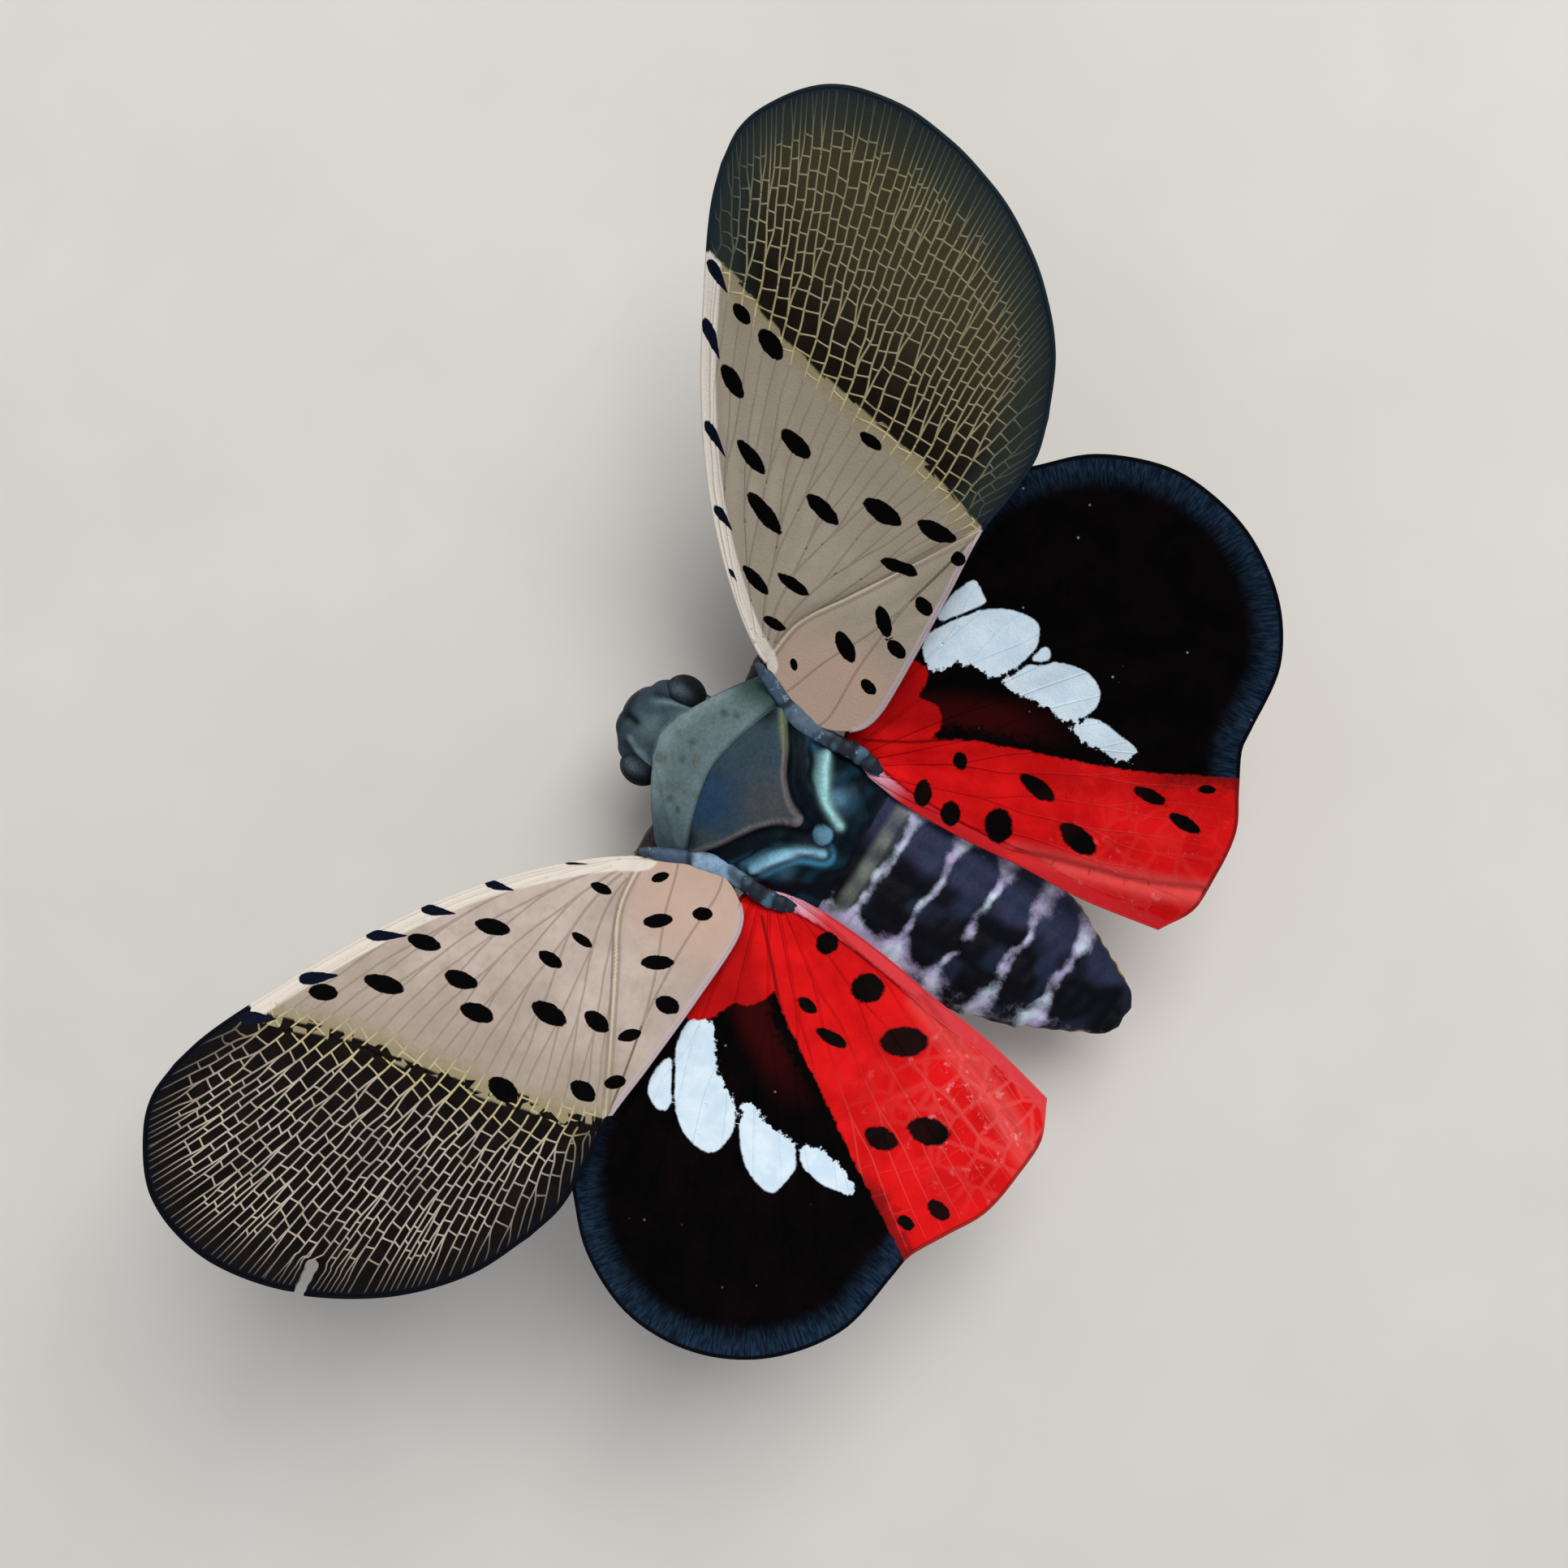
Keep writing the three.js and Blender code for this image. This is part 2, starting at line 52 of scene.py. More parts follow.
SIDES = {"left": 1, "right": -1}


def placed(points, side=1):
    """Points of the body's frame, in millimetres, turned into metres of the model; side -1 mirrors x."""
    return np.asarray(points) * np.array([side, 1, 1]) * MM + body_origin


def paint(red, green, blue):
    """A colour given as a screen shows it, 0 to 255, as linear light with alpha 1."""
    share = np.array([red, green, blue]) / 255
    return tuple(np.where(share <= 0.04045, share / 12.92, ((share + 0.055) / 1.055) ** 2.4)) + (1.0,)


def ease(value, low, high):
    """0 below low, 1 above high, and 3x^2 - 2x^3 of the share x between them."""
    x = np.clip((value - low) / (high - low), 0, 1)
    return x * x * (3 - 2 * x)


def bump_at(distance, width):
    """A bell of height 1 round distance 0: e to the minus (distance / width) squared."""
    return np.exp(-((distance / width) ** 2))


def unevenness(places, wavelength, seed):
    """A smooth random value, about -1 to 1: the sum of twelve sine waves in random directions."""
    draw = np.random.default_rng(seed)
    direction = draw.normal(size=(12, places.shape[-1]))
    direction /= np.linalg.norm(direction, axis=1, keepdims=True)
    phase = draw.uniform(0, 2 * np.pi, 12)
    return np.sin(places @ direction.T * (2 * np.pi / wavelength) + phase).sum(-1) / 5


def curve(points, closed=False):
    """A smooth path through the points, as a function from shares of its length to places.

    It is the centripetal Catmull-Rom curve: knots stand apart by the square root of each chord,
    and three rounds of straight blends between neighbouring knots give each place."""
    p = np.array(points, float)
    p = np.vstack([p[-1:], p, p[:2]]) if closed else np.vstack([2 * p[0] - p[1], p, 2 * p[-1] - p[-2]])
    knot = np.concatenate([[0], np.cumsum(np.sqrt(np.linalg.norm(np.diff(p, axis=0), axis=1)))])
    t = np.linspace(knot[1], knot[-2], 60 * len(p))
    k = np.clip(np.searchsorted(knot, t, side="right") - 1, 1, len(p) - 3)

    def blend(near, far, start, end):
        share = ((t - knot[k + start]) / (knot[k + end] - knot[k + start]))[:, None]
        return near * (1 - share) + far * share

    first = [blend(p[k + n], p[k + n + 1], n, n + 1) for n in (-1, 0, 1)]
    second = [blend(first[0], first[1], -1, 1), blend(first[1], first[2], 0, 2)]
    path = blend(second[0], second[1], 0, 1)
    length = np.concatenate([[0], np.cumsum(np.linalg.norm(np.diff(path, axis=0), axis=1))])

    def at(share):
        reach = np.clip(share, 0, 1) * length[-1]
        return np.stack([np.interp(reach, length, axis) for axis in path.T], axis=-1)

    return at


def path_distance(places, path):
    """Distance of each place from a row of points joined by straight steps, and its length up to there."""
    start, step = path[:-1], np.diff(path, axis=0)
    size = np.linalg.norm(step, axis=1)
    offset = places[:, None] - start
    share = np.clip((offset * step).sum(-1) / (size**2 + 1e-12), 0, 1)
    gap = np.linalg.norm(offset - share[..., None] * step, axis=-1)
    nearest = gap.argmin(axis=1)
    rows = np.arange(len(places))
    reach = np.concatenate([[0], np.cumsum(size)])[nearest] + share[rows, nearest] * size[nearest]
    return gap[rows, nearest], reach


def depth_inside(places, loop):
    """Distance of each place from a closed loop, positive inside it, found by counting crossings."""
    (x0, y0), (x1, y1) = loop[:-1].T, loop[1:].T
    x, y = places[:, :1], places[:, 1:2]
    crossing = x0 + (y - y0) * (x1 - x0) / (y1 - y0 + 1e-12)
    inside = (((y0 > y) != (y1 > y)) & (x < crossing)).sum(axis=1) % 2
    return np.where(inside, 1, -1) * path_distance(places, loop)[0]


def loft_faces(rows, columns):
    """Faces over rings of points, row by row, with a ladder of faces across each end ring."""
    i, j = np.meshgrid(np.arange(rows - 1), np.arange(columns), indexing="ij")
    a, b = i * columns + j, i * columns + (j + 1) % columns
    wall = np.stack([a, b, b + columns, a + columns], axis=-1).reshape(-1, 4)
    k = np.arange(columns // 2 - 1)
    rung = np.stack([k, k + 1, columns - 2 - k, columns - 1 - k], axis=-1)
    return np.concatenate([wall, rung[:, ::-1], rung + (rows - 1) * columns])


def new_piece(name, points, faces, material, replaces=(), values=None):
    """A closed smooth mesh that rides on the body, its faces turned outwards by its signed volume."""
    a, b, c, d = (points[faces[:, k]] for k in range(4))
    if np.einsum("ij,ij->", a, np.cross(b, c) + np.cross(c, d)) < 0:
        faces = faces[:, ::-1]
    mesh = bpy.data.meshes.new(name)
    mesh.from_pydata(points.tolist(), [], faces.tolist())
    mesh.shade_smooth()
    for label, value in (values or {}).items():
        kind, key = ("FLOAT_VECTOR", "vector") if value.ndim == 2 else ("FLOAT", "value")
        mesh.attributes.new(label, kind, "POINT").data.foreach_set(key, value.astype(np.float32).ravel())
    piece = bpy.data.objects.new(name, mesh)
    bpy.context.scene.collection.objects.link(piece)
    mesh.materials.append(material)
    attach(piece, "root")
    if replaces:
        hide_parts(*replaces)


class Signal:
    """A node's output, with sums, differences, products, shares and powers as further nodes."""

    def __init__(self, wire, socket):
        self.wire, self.socket = wire, socket

    def __add__(self, other):
        return self.wire.math("ADD", self, other)

    def __sub__(self, other):
        return self.wire.math("SUBTRACT", self, other)

    def __mul__(self, other):
        return self.wire.math("MULTIPLY", self, other)

    def __truediv__(self, other):
        return self.wire.math("DIVIDE", self, other)

    def __pow__(self, other):
        return self.wire.math("POWER", self, other)

    def __abs__(self):
        return self.wire.math("ABSOLUTE", self)


class Wiring:
    """Adds nodes to a tree and wires them: a number or colour sets an input, a signal is linked to it."""

    def __init__(self, tree):
        self.tree = tree

    def feed(self, socket, value):
        if isinstance(value, Signal):
            self.tree.links.new(value.socket, socket)
        else:
            socket.default_value = value

    def add(self, kind, inputs=(), output=0, **settings):
        node = self.tree.nodes.new(kind)
        for key, value in settings.items():
            setattr(node, key, value)
        for key, value in dict(inputs).items():
            self.feed(node.inputs[key], value)
        return Signal(self, node.outputs[output])

    def math(self, operation, a, b=0.0):
        return self.add("ShaderNodeMath", {0: a, 1: b}, operation=operation)

    def value(self, label):
        return self.add("ShaderNodeAttribute", output="Fac", attribute_name=label)

    def colour(self, label):
        return self.add("ShaderNodeAttribute", output="Color", attribute_name=label)

    def parts(self, label):
        """The three parts of a vector stored on the mesh."""
        vector = self.add("ShaderNodeAttribute", output="Vector", attribute_name=label)
        split = self.add("ShaderNodeSeparateXYZ", {0: vector}).socket.node
        return [Signal(self, socket) for socket in split.outputs]

    def mix(self, share, a, b, blend="MIX"):
        inputs = {"Factor": share, 6: a, 7: b}
        return self.add("ShaderNodeMix", inputs, output=2, data_type="RGBA", blend_type=blend)

    def coats(self, base, *coats):
        """Colours laid over a base one after another, each by its mask."""
        for mask, tint in coats:
            base = self.mix(mask, base, tint)
        return base

    def shaded(self, colour, shade):
        """A colour times a value."""
        grey = self.add("ShaderNodeCombineColor", {0: shade, 1: shade, 2: shade})
        return self.mix(1.0, colour, grey, "MULTIPLY")

    def step(self, value, low, high, start=0.0, end=1.0):
        """From start, while the value is at low, by a smooth step to end, from where it is at high."""
        inputs = {"Value": value, "From Min": low, "From Max": high, "To Min": start, "To Max": end}
        return self.add("ShaderNodeMapRange", inputs, interpolation_type="SMOOTHSTEP")

    def place(self, per_mm=1.0, squash=(1, 1, 1)):
        at = self.add("ShaderNodeTexCoord", output="Object")
        scale = [per_mm / MM * axis for axis in squash]
        return self.add("ShaderNodeMapping", {"Vector": at, "Scale": scale})

    def noise(self, where, scale, detail=3.0, roughness=0.6):
        inputs = {"Vector": where, "Scale": scale, "Detail": detail, "Roughness": roughness}
        return self.add("ShaderNodeTexNoise", inputs)

    def cells(self, where, scale, feature="F1", output="Distance"):
        inputs = {"Vector": where, "Scale": scale}
        return self.add("ShaderNodeTexVoronoi", inputs, output=output, feature=feature)

    def group(self, tree, inputs):
        """The outputs of a placed node group, by name."""
        node = self.add("ShaderNodeGroup", inputs, node_tree=tree).socket.node
        return {socket.name: Signal(self, socket) for socket in node.outputs}

    def give(self, **outputs):
        """The group's own outputs."""
        end = self.tree.nodes.new("NodeGroupOutput")
        for key, value in outputs.items():
            self.feed(end.inputs[key], value)

    def surface(self, bump=None, bump_size=0.02, **inputs):
        """The surface's shader and the tree's end; a bump height of 1 stands for `bump_size` millimetres."""
        shader = self.tree.nodes.new("ShaderNodeBsdfPrincipled")
        for key, value in inputs.items():
            self.feed(shader.inputs[key.replace("_", " ")], value)
        if bump is not None:
            levels = {"Height": bump, "Distance": bump_size * MM, "Strength": 1.0}
            self.feed(shader.inputs["Normal"], self.add("ShaderNodeBump", levels))
        end = self.tree.nodes.new("ShaderNodeOutputMaterial")
        self.tree.links.new(shader.outputs[0], end.inputs["Surface"])


def new_material(name):
    material = bpy.data.materials.new(name)
    material.use_nodes = True
    material.node_tree.nodes.clear()
    return material, Wiring(material.node_tree)


# Each row is one place along the body: how far back it is on the midline, half width, top,
# bottom, and how far its sides are carried back.
HEAD_RINGS = [
    (-2.24, 0.35, -0.2, -0.6, 0.04),
    (-2.18, 0.8, 0.06, -1.0, 0.13),
    (-2.07, 1.16, 0.24, -1.45, 0.24),
    (-1.87, 1.46, 0.36, -2.0, 0.33),
    (-1.55, 1.66, 0.44, -2.5, 0.42),
    (-1.2, 1.76, 0.48, -2.72, 0.5),
    (-0.85, 1.76, 0.46, -2.7, 0.55),
]
PRONOTUM_RINGS = [
    (-0.62, 1.75, 0.36, -2.3, 0.8),
    (-0.6, 2.5, 0.5, -2.2, 1.35),
    (-0.7, 3.22, 0.7, -2.2, 1.75),
    (-0.62, 3.36, 0.84, -2.3, 1.72),
    (0.0, 3.44, 1.0, -2.45, 1.45),
    (0.7, 3.5, 1.12, -2.65, 1.15),
    (1.22, 3.48, 1.16, -2.78, 0.95),
    (1.32, 3.42, 1.1, -2.8, 0.92),
]
MESOTHORAX_RINGS = [
    (1.3, 3.22, 0.98, -2.82, 0.9),
    (1.5, 3.2, 1.08, -2.85, 0.88),
    (2.4, 3.18, 1.26, -3.15, 0.3),
    (3.5, 3.08, 1.18, -3.35, -0.5),
    (4.6, 2.9, 0.96, -3.45, -1.15),
]
METATHORAX_RINGS = [
    (4.85, 2.8, 0.82, -3.45, -1.2),
    (5.7, 2.72, 0.52, -3.4, -0.5),
    (6.6, 2.68, 0.16, -3.3, 0.0),
]
# How each of the five regions, numbered from 0 at the head, gives way to the next one.
REGION_SEAMS = ((0.45, 0.55), (1.35, 1.6), (2.35, 2.6), (3.35, 3.6))
PLATE_EDGES = (6.8, 7.9, 9.6, 11.3, 13.0, 14.7, 17.15)
PLATE_STEP = 0.11


def abdomen_rings():
    """Each plate widens from its front edge to its rear one by the plate step, then the next begins."""
    rings = []
    length = PLATE_EDGES[-1] - PLATE_EDGES[0]
    for front, rear in zip(PLATE_EDGES[:-1], PLATE_EDGES[1:]):
        for part, step in ((0.0, -0.02), (0.06, 0.02), (0.5, 0.6 * PLATE_STEP), (0.9, PLATE_STEP)):
            y = front + part * (rear - front)
            share = (y - PLATE_EDGES[0]) / length
            half = 2.75 + 1.25 * share - 3.9 * share**3 + 0.65 * share**8 + step
            top = 0.12 - 0.75 * share - 1.0 * share**4 + step
            bottom = -3.2 + 0.2 * share + 1.15 * share**4 - step
            rings.append((y, half, top, bottom, 0.0))
    return rings + [(rear, 0.7, -1.3, -1.95, 0.0), (rear + 0.25, 0.4, -1.5, -1.95, 0.0)]


def body_grid(rows=350, columns=220):
    """Rings of points down the body, the region each row is in, and each ring's place in its region.

    A ring is a rounded section: its half width times cos^(2/b) and its height times sin^(2/b),
    with b 2.25 above the widest line and 1.75 below, and its sides swept back by |across|^1.5."""
    regions = [HEAD_RINGS, PRONOTUM_RINGS, MESOTHORAX_RINGS, METATHORAX_RINGS, abdomen_rings()]
    rings = np.array([ring for region in regions for ring in region])
    region = np.repeat(np.arange(len(regions)), [len(part) for part in regions])
    weight = np.array([1, 0.7, 0.7, 0.3, 0.3])
    travel = np.concatenate([[0], np.cumsum(np.linalg.norm(np.diff(rings * weight, axis=0), axis=1))])
    steps = np.linspace(0, travel[-1], rows)
    table = np.stack([np.interp(steps, travel, column) for column in rings.T], axis=-1)
    padded = np.pad(table, ((2, 2), (0, 0)), mode="edge")
    table = sum(w * padded[k:k + rows] for k, w in enumerate((1, 2, 3, 2, 1))) / 9
    y, half, top, bottom, sweep = table.T[..., None]
    angle = 2 * np.pi * (np.arange(columns) + 0.5) / columns
    blunt = np.where(np.sin(angle) > 0, 2.25, 1.75)
    across = np.sign(np.cos(angle)) * np.abs(np.cos(angle)) ** (2 / blunt)
    rise = np.abs(np.sin(angle)) ** (2 / blunt)
    middle = bottom + 0.55 * (top - bottom)
    z = middle + np.where(np.sin(angle) > 0, (top - middle) * rise, (bottom - middle) * rise)
    points = np.stack([half * across, y + sweep * np.abs(across) ** 1.5, z], axis=-1)
    return points, np.interp(steps, travel, region), columns


def grid_normals(points):
    """Unit normals of a grid of rings, from the cross product of its two directions."""
    along = np.gradient(points, axis=0)
    round_it = (np.roll(points, -1, axis=1) - np.roll(points, 1, axis=1)) / 2
    normal = np.cross(along, round_it)
    return normal / (np.linalg.norm(normal, axis=-1, keepdims=True) + 1e-12)


def layered(base, coats):
    """A colour for each point: a base, and colours laid over it in turn by masks from 0 to 1."""
    colour = np.array(paint(*base)[:3])
    for tint, mask in coats:
        colour = colour + (np.array(paint(*tint)[:3]) - colour) * np.clip(mask, 0, 1)[:, None]
    return colour


# The scutellum's rear rim, the raised arcs behind it, painted pale as a highlight, and the pronotum's side
# ridges, on the left.
SCUTELLUM_RIM = [(2.95, 2.1), (1.85, 2.92), (0.9, 3.5), (0.32, 4.1), (0.0, 4.95)]
METANOTUM_ARC = [(2.25, 4.2), (1.48, 4.62), (0.88, 5.14), (0.52, 5.85)]
SIDE_RIDGE = [(0.75, -0.45), (1.35, 0.25), (2.1, 0.95), (2.9, 1.75)]
TUBERCLE, TUBERCLE_RADIUS = (0.0, 5.57), 0.31
PITS = ((0.3, 0.35, 0.12), (1.67, 0.72, 0.11), (1.83, 1.1, 0.1))  # out, back and width, on the pronotum
# A ridge inside each eye, painted pale as a highlight, and a hollow between that ridge and the eye, painted
# dark as shade.
HEAD_HIGHLIT_RIDGE = [(0.72, -1.42), (0.95, -0.98), (1.12, -0.45)]
HEAD_HOLLOW = [(0.98, -1.5), (1.18, -1.02), (1.32, -0.48)]
# The plate down the face: its foot, the seam across it and its top, and its half width at each.
FACE_HEIGHTS = (-2.4, -1.6, -0.4)
FACE_HALF_WIDTHS = (0.4, 0.62, 0.78)
SIDE_SEAMS = (1.3, 2.7, 3.7, 5.0)  # where the plates of the thorax's sides meet, by y + 0.35 z


def mirrored_distance(flat, points):
    """Distance in the plan view from a path and from its mirror image."""
    path = curve(points)(np.linspace(0, 1, 40))
    return path_distance(np.abs(flat * [1, 0]) + flat * [0, 1], path)[0]


def build_body():
    points, region_row, columns = body_grid()
    normals = grid_normals(points)
    if normals[len(normals) // 2, columns // 4, 2] < 0:
        normals = -normals
    region = np.repeat(region_row, columns)
    flat = points[..., :2].reshape(-1, 2)
    places = points.reshape(-1, 3)
    x, y, z = places.T
    above = ease(normals[..., 2].ravel(), 0.1, 0.45)
    passed = [ease(region, *seam) for seam in REGION_SEAMS]
    pronotum, mesothorax, metathorax = (passed[n] * (1 - passed[n + 1]) for n in range(3))
    head, abdomen = 1 - passed[0], passed[3]
    collar, back, tail = pronotum * above, mesothorax * above, abdomen * above

    # Distances from the lines of its relief, and chance.
    rim = mirrored_distance(flat, SCUTELLUM_RIM)
    arc = mirrored_distance(flat, METANOTUM_ARC)
    side_ridge = mirrored_distance(flat, SIDE_RIDGE)
    tubercle = np.linalg.norm(flat - TUBERCLE, axis=1)
    plate = depth_inside(flat, np.array(
        [(3.2, 1.2), *SCUTELLUM_RIM, *[(-a, b) for a, b in SCUTELLUM_RIM[-2::-1]], (-3.2, 1.2), (3.2, 1.2)]))
    mottle = unevenness(places, 1.6, 21)
    speck = unevenness(places, 0.5, 22)
    fine = unevenness(places, 0.8, 23)
    highlit_ridge = mirrored_distance(flat, HEAD_HIGHLIT_RIDGE) + 0.05 * speck
    hollow = mirrored_distance(flat, HEAD_HOLLOW)
    station = np.repeat(points[:, columns // 4, 1], columns)  # the ring's place on the midline
    pits = sum(bump_at(np.hypot(np.abs(x) - a, y - b), width) for a, b, width in PITS)

    # Relief, in millimetres outwards.
    behind = -plate  # how far behind the scutellum
    folded = (mesothorax + metathorax) * above * ease(behind, -0.1, 0.1)
    folds = -0.16 * bump_at(behind - 0.32, 0.2) + 0.05 * bump_at(behind - 0.74, 0.06)
    folds -= 0.1 * bump_at(behind - 1.0, 0.12) - 0.05 * bump_at(behind - 1.95, 0.12)
    crown = head * above
    groove = crown * bump_at(x - 0.14 + 0.05 * fine, 0.14) * ease(-y, 1.3, 1.6)
    relief = head * 0.025 * fine + crown * 0.05 * bump_at(highlit_ridge, 0.12) - 0.09 * groove
    relief -= 0.05 * crown * bump_at(hollow, 0.12)
    relief -= crown * 0.06 * bump_at(np.hypot(np.abs(x) - 0.62, y + 0.85), 0.22)
    relief += collar * (0.03 * bump_at(x, 0.3) - 0.05 * bump_at(x, 0.04) * ease(y, 0, 0.2))
    relief += collar * (0.04 * bump_at(side_ridge, 0.1) - 0.09 * pits) + pronotum * 0.012 * fine
    relief += back * (0.14 * ease(plate, -0.1, 0.05) + 0.04 * bump_at(rim - 0.06, 0.08))
    relief -= back * 0.02 * (bump_at(x, 0.04) * ease(y, 1.5, 2) + bump_at(np.abs(x) - 0.95, 0.2))
    relief += folded * (folds + 0.18 * bump_at(arc, 0.16) + 0.03 * fine)
    relief += 0.28 * np.sqrt(np.clip(1 - (tubercle / TUBERCLE_RADIUS) ** 2, 0, 1))
    relief += (mesothorax + metathorax) * 0.012 * fine
    relief += abdomen * (0.03 * unevenness(places * [1, 2.2, 1], 0.9, 12) - 0.06 * above * bump_at(x, 0.2))
    relief -= tail * 0.05 * (bump_at(np.abs(x) - 1.25, 0.22) - bump_at(np.abs(x) - 0.75, 0.25))
    relief -= abdomen * 0.12 * bump_at(z + 1.75 + 0.02 * y, 0.14)

    face = head * (1 - above) * ease(-normals[..., 1].ravel(), 0.2, 0.5)
    face_half = np.interp(z, FACE_HEIGHTS, FACE_HALF_WIDTHS)
    face_plate = face * ease(face_half - np.abs(x), -0.05, 0.05)
    brow = face_plate * ease(z - FACE_HEIGHTS[1] + 0.2 * x**2, -0.05, 0.05)
    face_seam = face_plate * bump_at(z - FACE_HEIGHTS[1] + 0.2 * x**2, 0.06)
    face_ridge = face * bump_at(np.abs(x) - face_half, 0.07) * ease(z, -2.5, -2.2)
    face_ridge += 0.6 * brow * (bump_at(x, 0.05) + bump_at(np.abs(x) - 0.45 * face_half, 0.05))
    relief += (0.08 * face_ridge * ease(-z, 0.9, 1.7) - 0.07 * face_seam
               - 0.08 * face * bump_at(np.abs(x) - face_half - 0.3, 0.16))
    flank_skin = (mesothorax + metathorax) * (1 - above)
    flank_seam = flank_skin * sum(bump_at(y + 0.35 * z + 0.06 * fine - seam, 0.08) for seam in SIDE_SEAMS)
    relief -= 0.07 * flank_seam
    skin = places + relief[:, None] * normals.reshape(-1, 3)

    # Colours, and the wax on the abdomen.
    def blot(a, b, radius):
        return bump_at(np.hypot(x - a, y - b) + 0.12 * fine, radius)

    outward = ease(np.abs(x) / np.interp(y, [6.8, 11, 17], [2.8, 2.8, 1.0]), 0.45, 0.92)
    band = sum(bump_at(y + 0.12 * mottle - edge + 0.03, 0.2 + 0.2 * outward) for edge in PLATE_EDGES[1:-1])
    scutum = back * ease(plate, -0.05, 0.05)
    # shine: painted highlight on the crests of the raised arcs
    shine = folded * bump_at(arc, 0.13 + 0.05 * ease(np.abs(x), 0.5, 1.4)) * ease(2.45 - np.abs(x), 0, 0.4)
    colour = layered((22, 28, 34), [
        ((50, 64, 76), head * (0.8 + 0.2 * above)),
        ((66, 85, 94), crown * ease(fine + 0.5 * mottle + 0.3 * speck, -0.2, 1.0) * 0.8),
        ((84, 102, 106), crown * bump_at(np.hypot(x, y + 1.05) + 0.1 * fine, 0.48) * 0.9),
        # painted shade in the hollow beside each eye
        ((24, 36, 46), crown * bump_at(hollow + 0.03 * speck, 0.16) * 0.85),
        # painted highlight along the ridge inside each eye
        ((104, 124, 132), crown * bump_at(highlit_ridge + 0.03 * fine, 0.1) * 0.8),
        ((18, 26, 36), crown * ease(-1.75 - y + 0.1 * fine, 0, 0.3) * 0.7),
        # painted shade in the groove down the middle of the head
        ((12, 18, 20), groove),
        ((20, 28, 38), head * ease(np.abs(x) + 0.05 * fine, 1.3, 1.6) * 0.6),
        ((70, 75, 74), face_plate * (0.7 + 0.25 * fine)),
        ((36, 31, 30), (face_plate - brow) * 0.8),
        ((28, 30, 34), brow * ease(speck + fine, 0.5, 1.2) * 0.7),
        # painted highlight on the ridges of the face
        ((112, 112, 104), face_ridge * 0.55),
        ((12, 12, 14), face_seam),
        ((92, 109, 112), collar),
        ((118, 136, 140), collar * bump_at(station + 0.5, 0.34) * 0.8),
        ((98, 118, 122), collar * bump_at(station - 1.15, 0.28) * 0.6),
        ((84, 92, 82), collar * ease(fine + 0.4 * speck, 0.2, 1.0) * ease(2 - np.abs(x), 0, 1)
         * 0.7),
        ((40, 62, 56), collar * ease(-x, 1.9, 2.9) * 0.9),
        ((58, 76, 84), collar * ease(x, 1.5, 2.6) * 0.7),
        ((56, 68, 64), collar * np.clip(pits + bump_at(x, 0.045) * ease(y, 0, 0.2), 0, 1) * 0.8),
        # painted shade in the step behind the pronotum's rear edge, where it lies over the mesonotum
        ((14, 20, 24), ease(region, 1.05, 1.3) * (1 - ease(region, 1.55, 1.75))),
        ((48, 64, 74), back),
        ((30, 58, 86), scutum * np.clip(blot(0.8, 1.9, 0.9) + 0.6 * blot(1.7, 2.0, 0.5), 0, 1) * 0.9),
        ((68, 70, 72), scutum * blot(0, 3.6, 0.95) * 0.9),
        ((60, 76, 72), scutum * blot(2.1, 2.4, 0.42) * 0.8),
        ((22, 30, 34), scutum * bump_at(x, 0.05) * ease(y, 1.3, 1.6) * (1 - ease(y, 3.2, 3.5)) * 0.7),
        ((8, 12, 16), scutum * bump_at(np.hypot(np.abs(x) - 2.4, y - 1.85), 0.4)),
        ((2, 13, 22), folded),
        ((14, 44, 60), folded * ease(behind, 1.2, 1.6) * ease(fine + 0.6 * mottle, -0.2, 1.0)),
        ((40, 74, 94), folded * bump_at(behind - 0.74, 0.07) * ease(fine, -0.4, 0.8) * 0.45),
        ((44, 98, 138), folded * (blot(-2.6, 3.7, 0.3) + blot(2.4, 3.9, 0.25)) * 0.8),
        ((84, 126, 152), folded * (blot(-1.25, 5.4, 0.36) + 0.5 * blot(1.7, 5.1, 0.3)) * 0.8),
        ((116, 110, 114), back * bump_at(rim - 0.05, 0.06) * 0.75),
        ((104, 116, 90), back * bump_at(rim - 0.05, 0.1) * ease(-x, 1.5, 2.0)),
        # painted highlight: the second, inner band of the arcs' highlight
        ((60, 122, 156), folded * bump_at(arc - 0.36, 0.09) * ease(x, -0.3, 0.8) * ease(behind, 0.6, 1.2)),
        ((150, 204, 206), 1.15 * shine * (x < 0)),
        ((136, 190, 216), 1.15 * shine * (x >= 0)),
        ((88, 130, 154), ease(0.36 - tubercle, 0, 0.1)),
        ((58, 70, 73), (1 - above) * pronotum * (0.85 + 0.15 * fine)),
        ((82, 74, 66), flank_skin * 0.8),
        ((128, 116, 96), flank_skin * ease(mottle + 0.5 * fine, 0.1, 1.0) * 0.55),
        ((26, 22, 22), flank_seam * 0.85),
        ((7, 8, 16), abdomen),
        ((50, 56, 86), tail * ease(0.5 * mottle + 0.2 * fine - x, 0.0, 1.4) * 0.7),
        ((34, 46, 70), tail * ease(mottle + 0.3 * fine, 0.2, 1.0) * 0.5),
        ((106, 112, 106), tail * ease(7.66 + 0.06 * mottle - y, 0, 0.2) * ease(y, 6.95, 7.25)
         * (0.7 + 0.3 * fine)),
        ((48, 54, 50), tail * bump_at(y - 7.66 + 0.06 * mottle, 0.07)),
        ((190, 148, 52), abdomen * (1 - above) * bump_at(z + 1.75, 0.5)),
        ((52, 44, 40), abdomen * ease(-z, 2.4, 2.9) * 0.7),
    ])
    flank = outward * (0.3 + 0.5 * ease(x, -1, 1)) * (1 - 0.7 * ease(y, 9.4, 11.5))
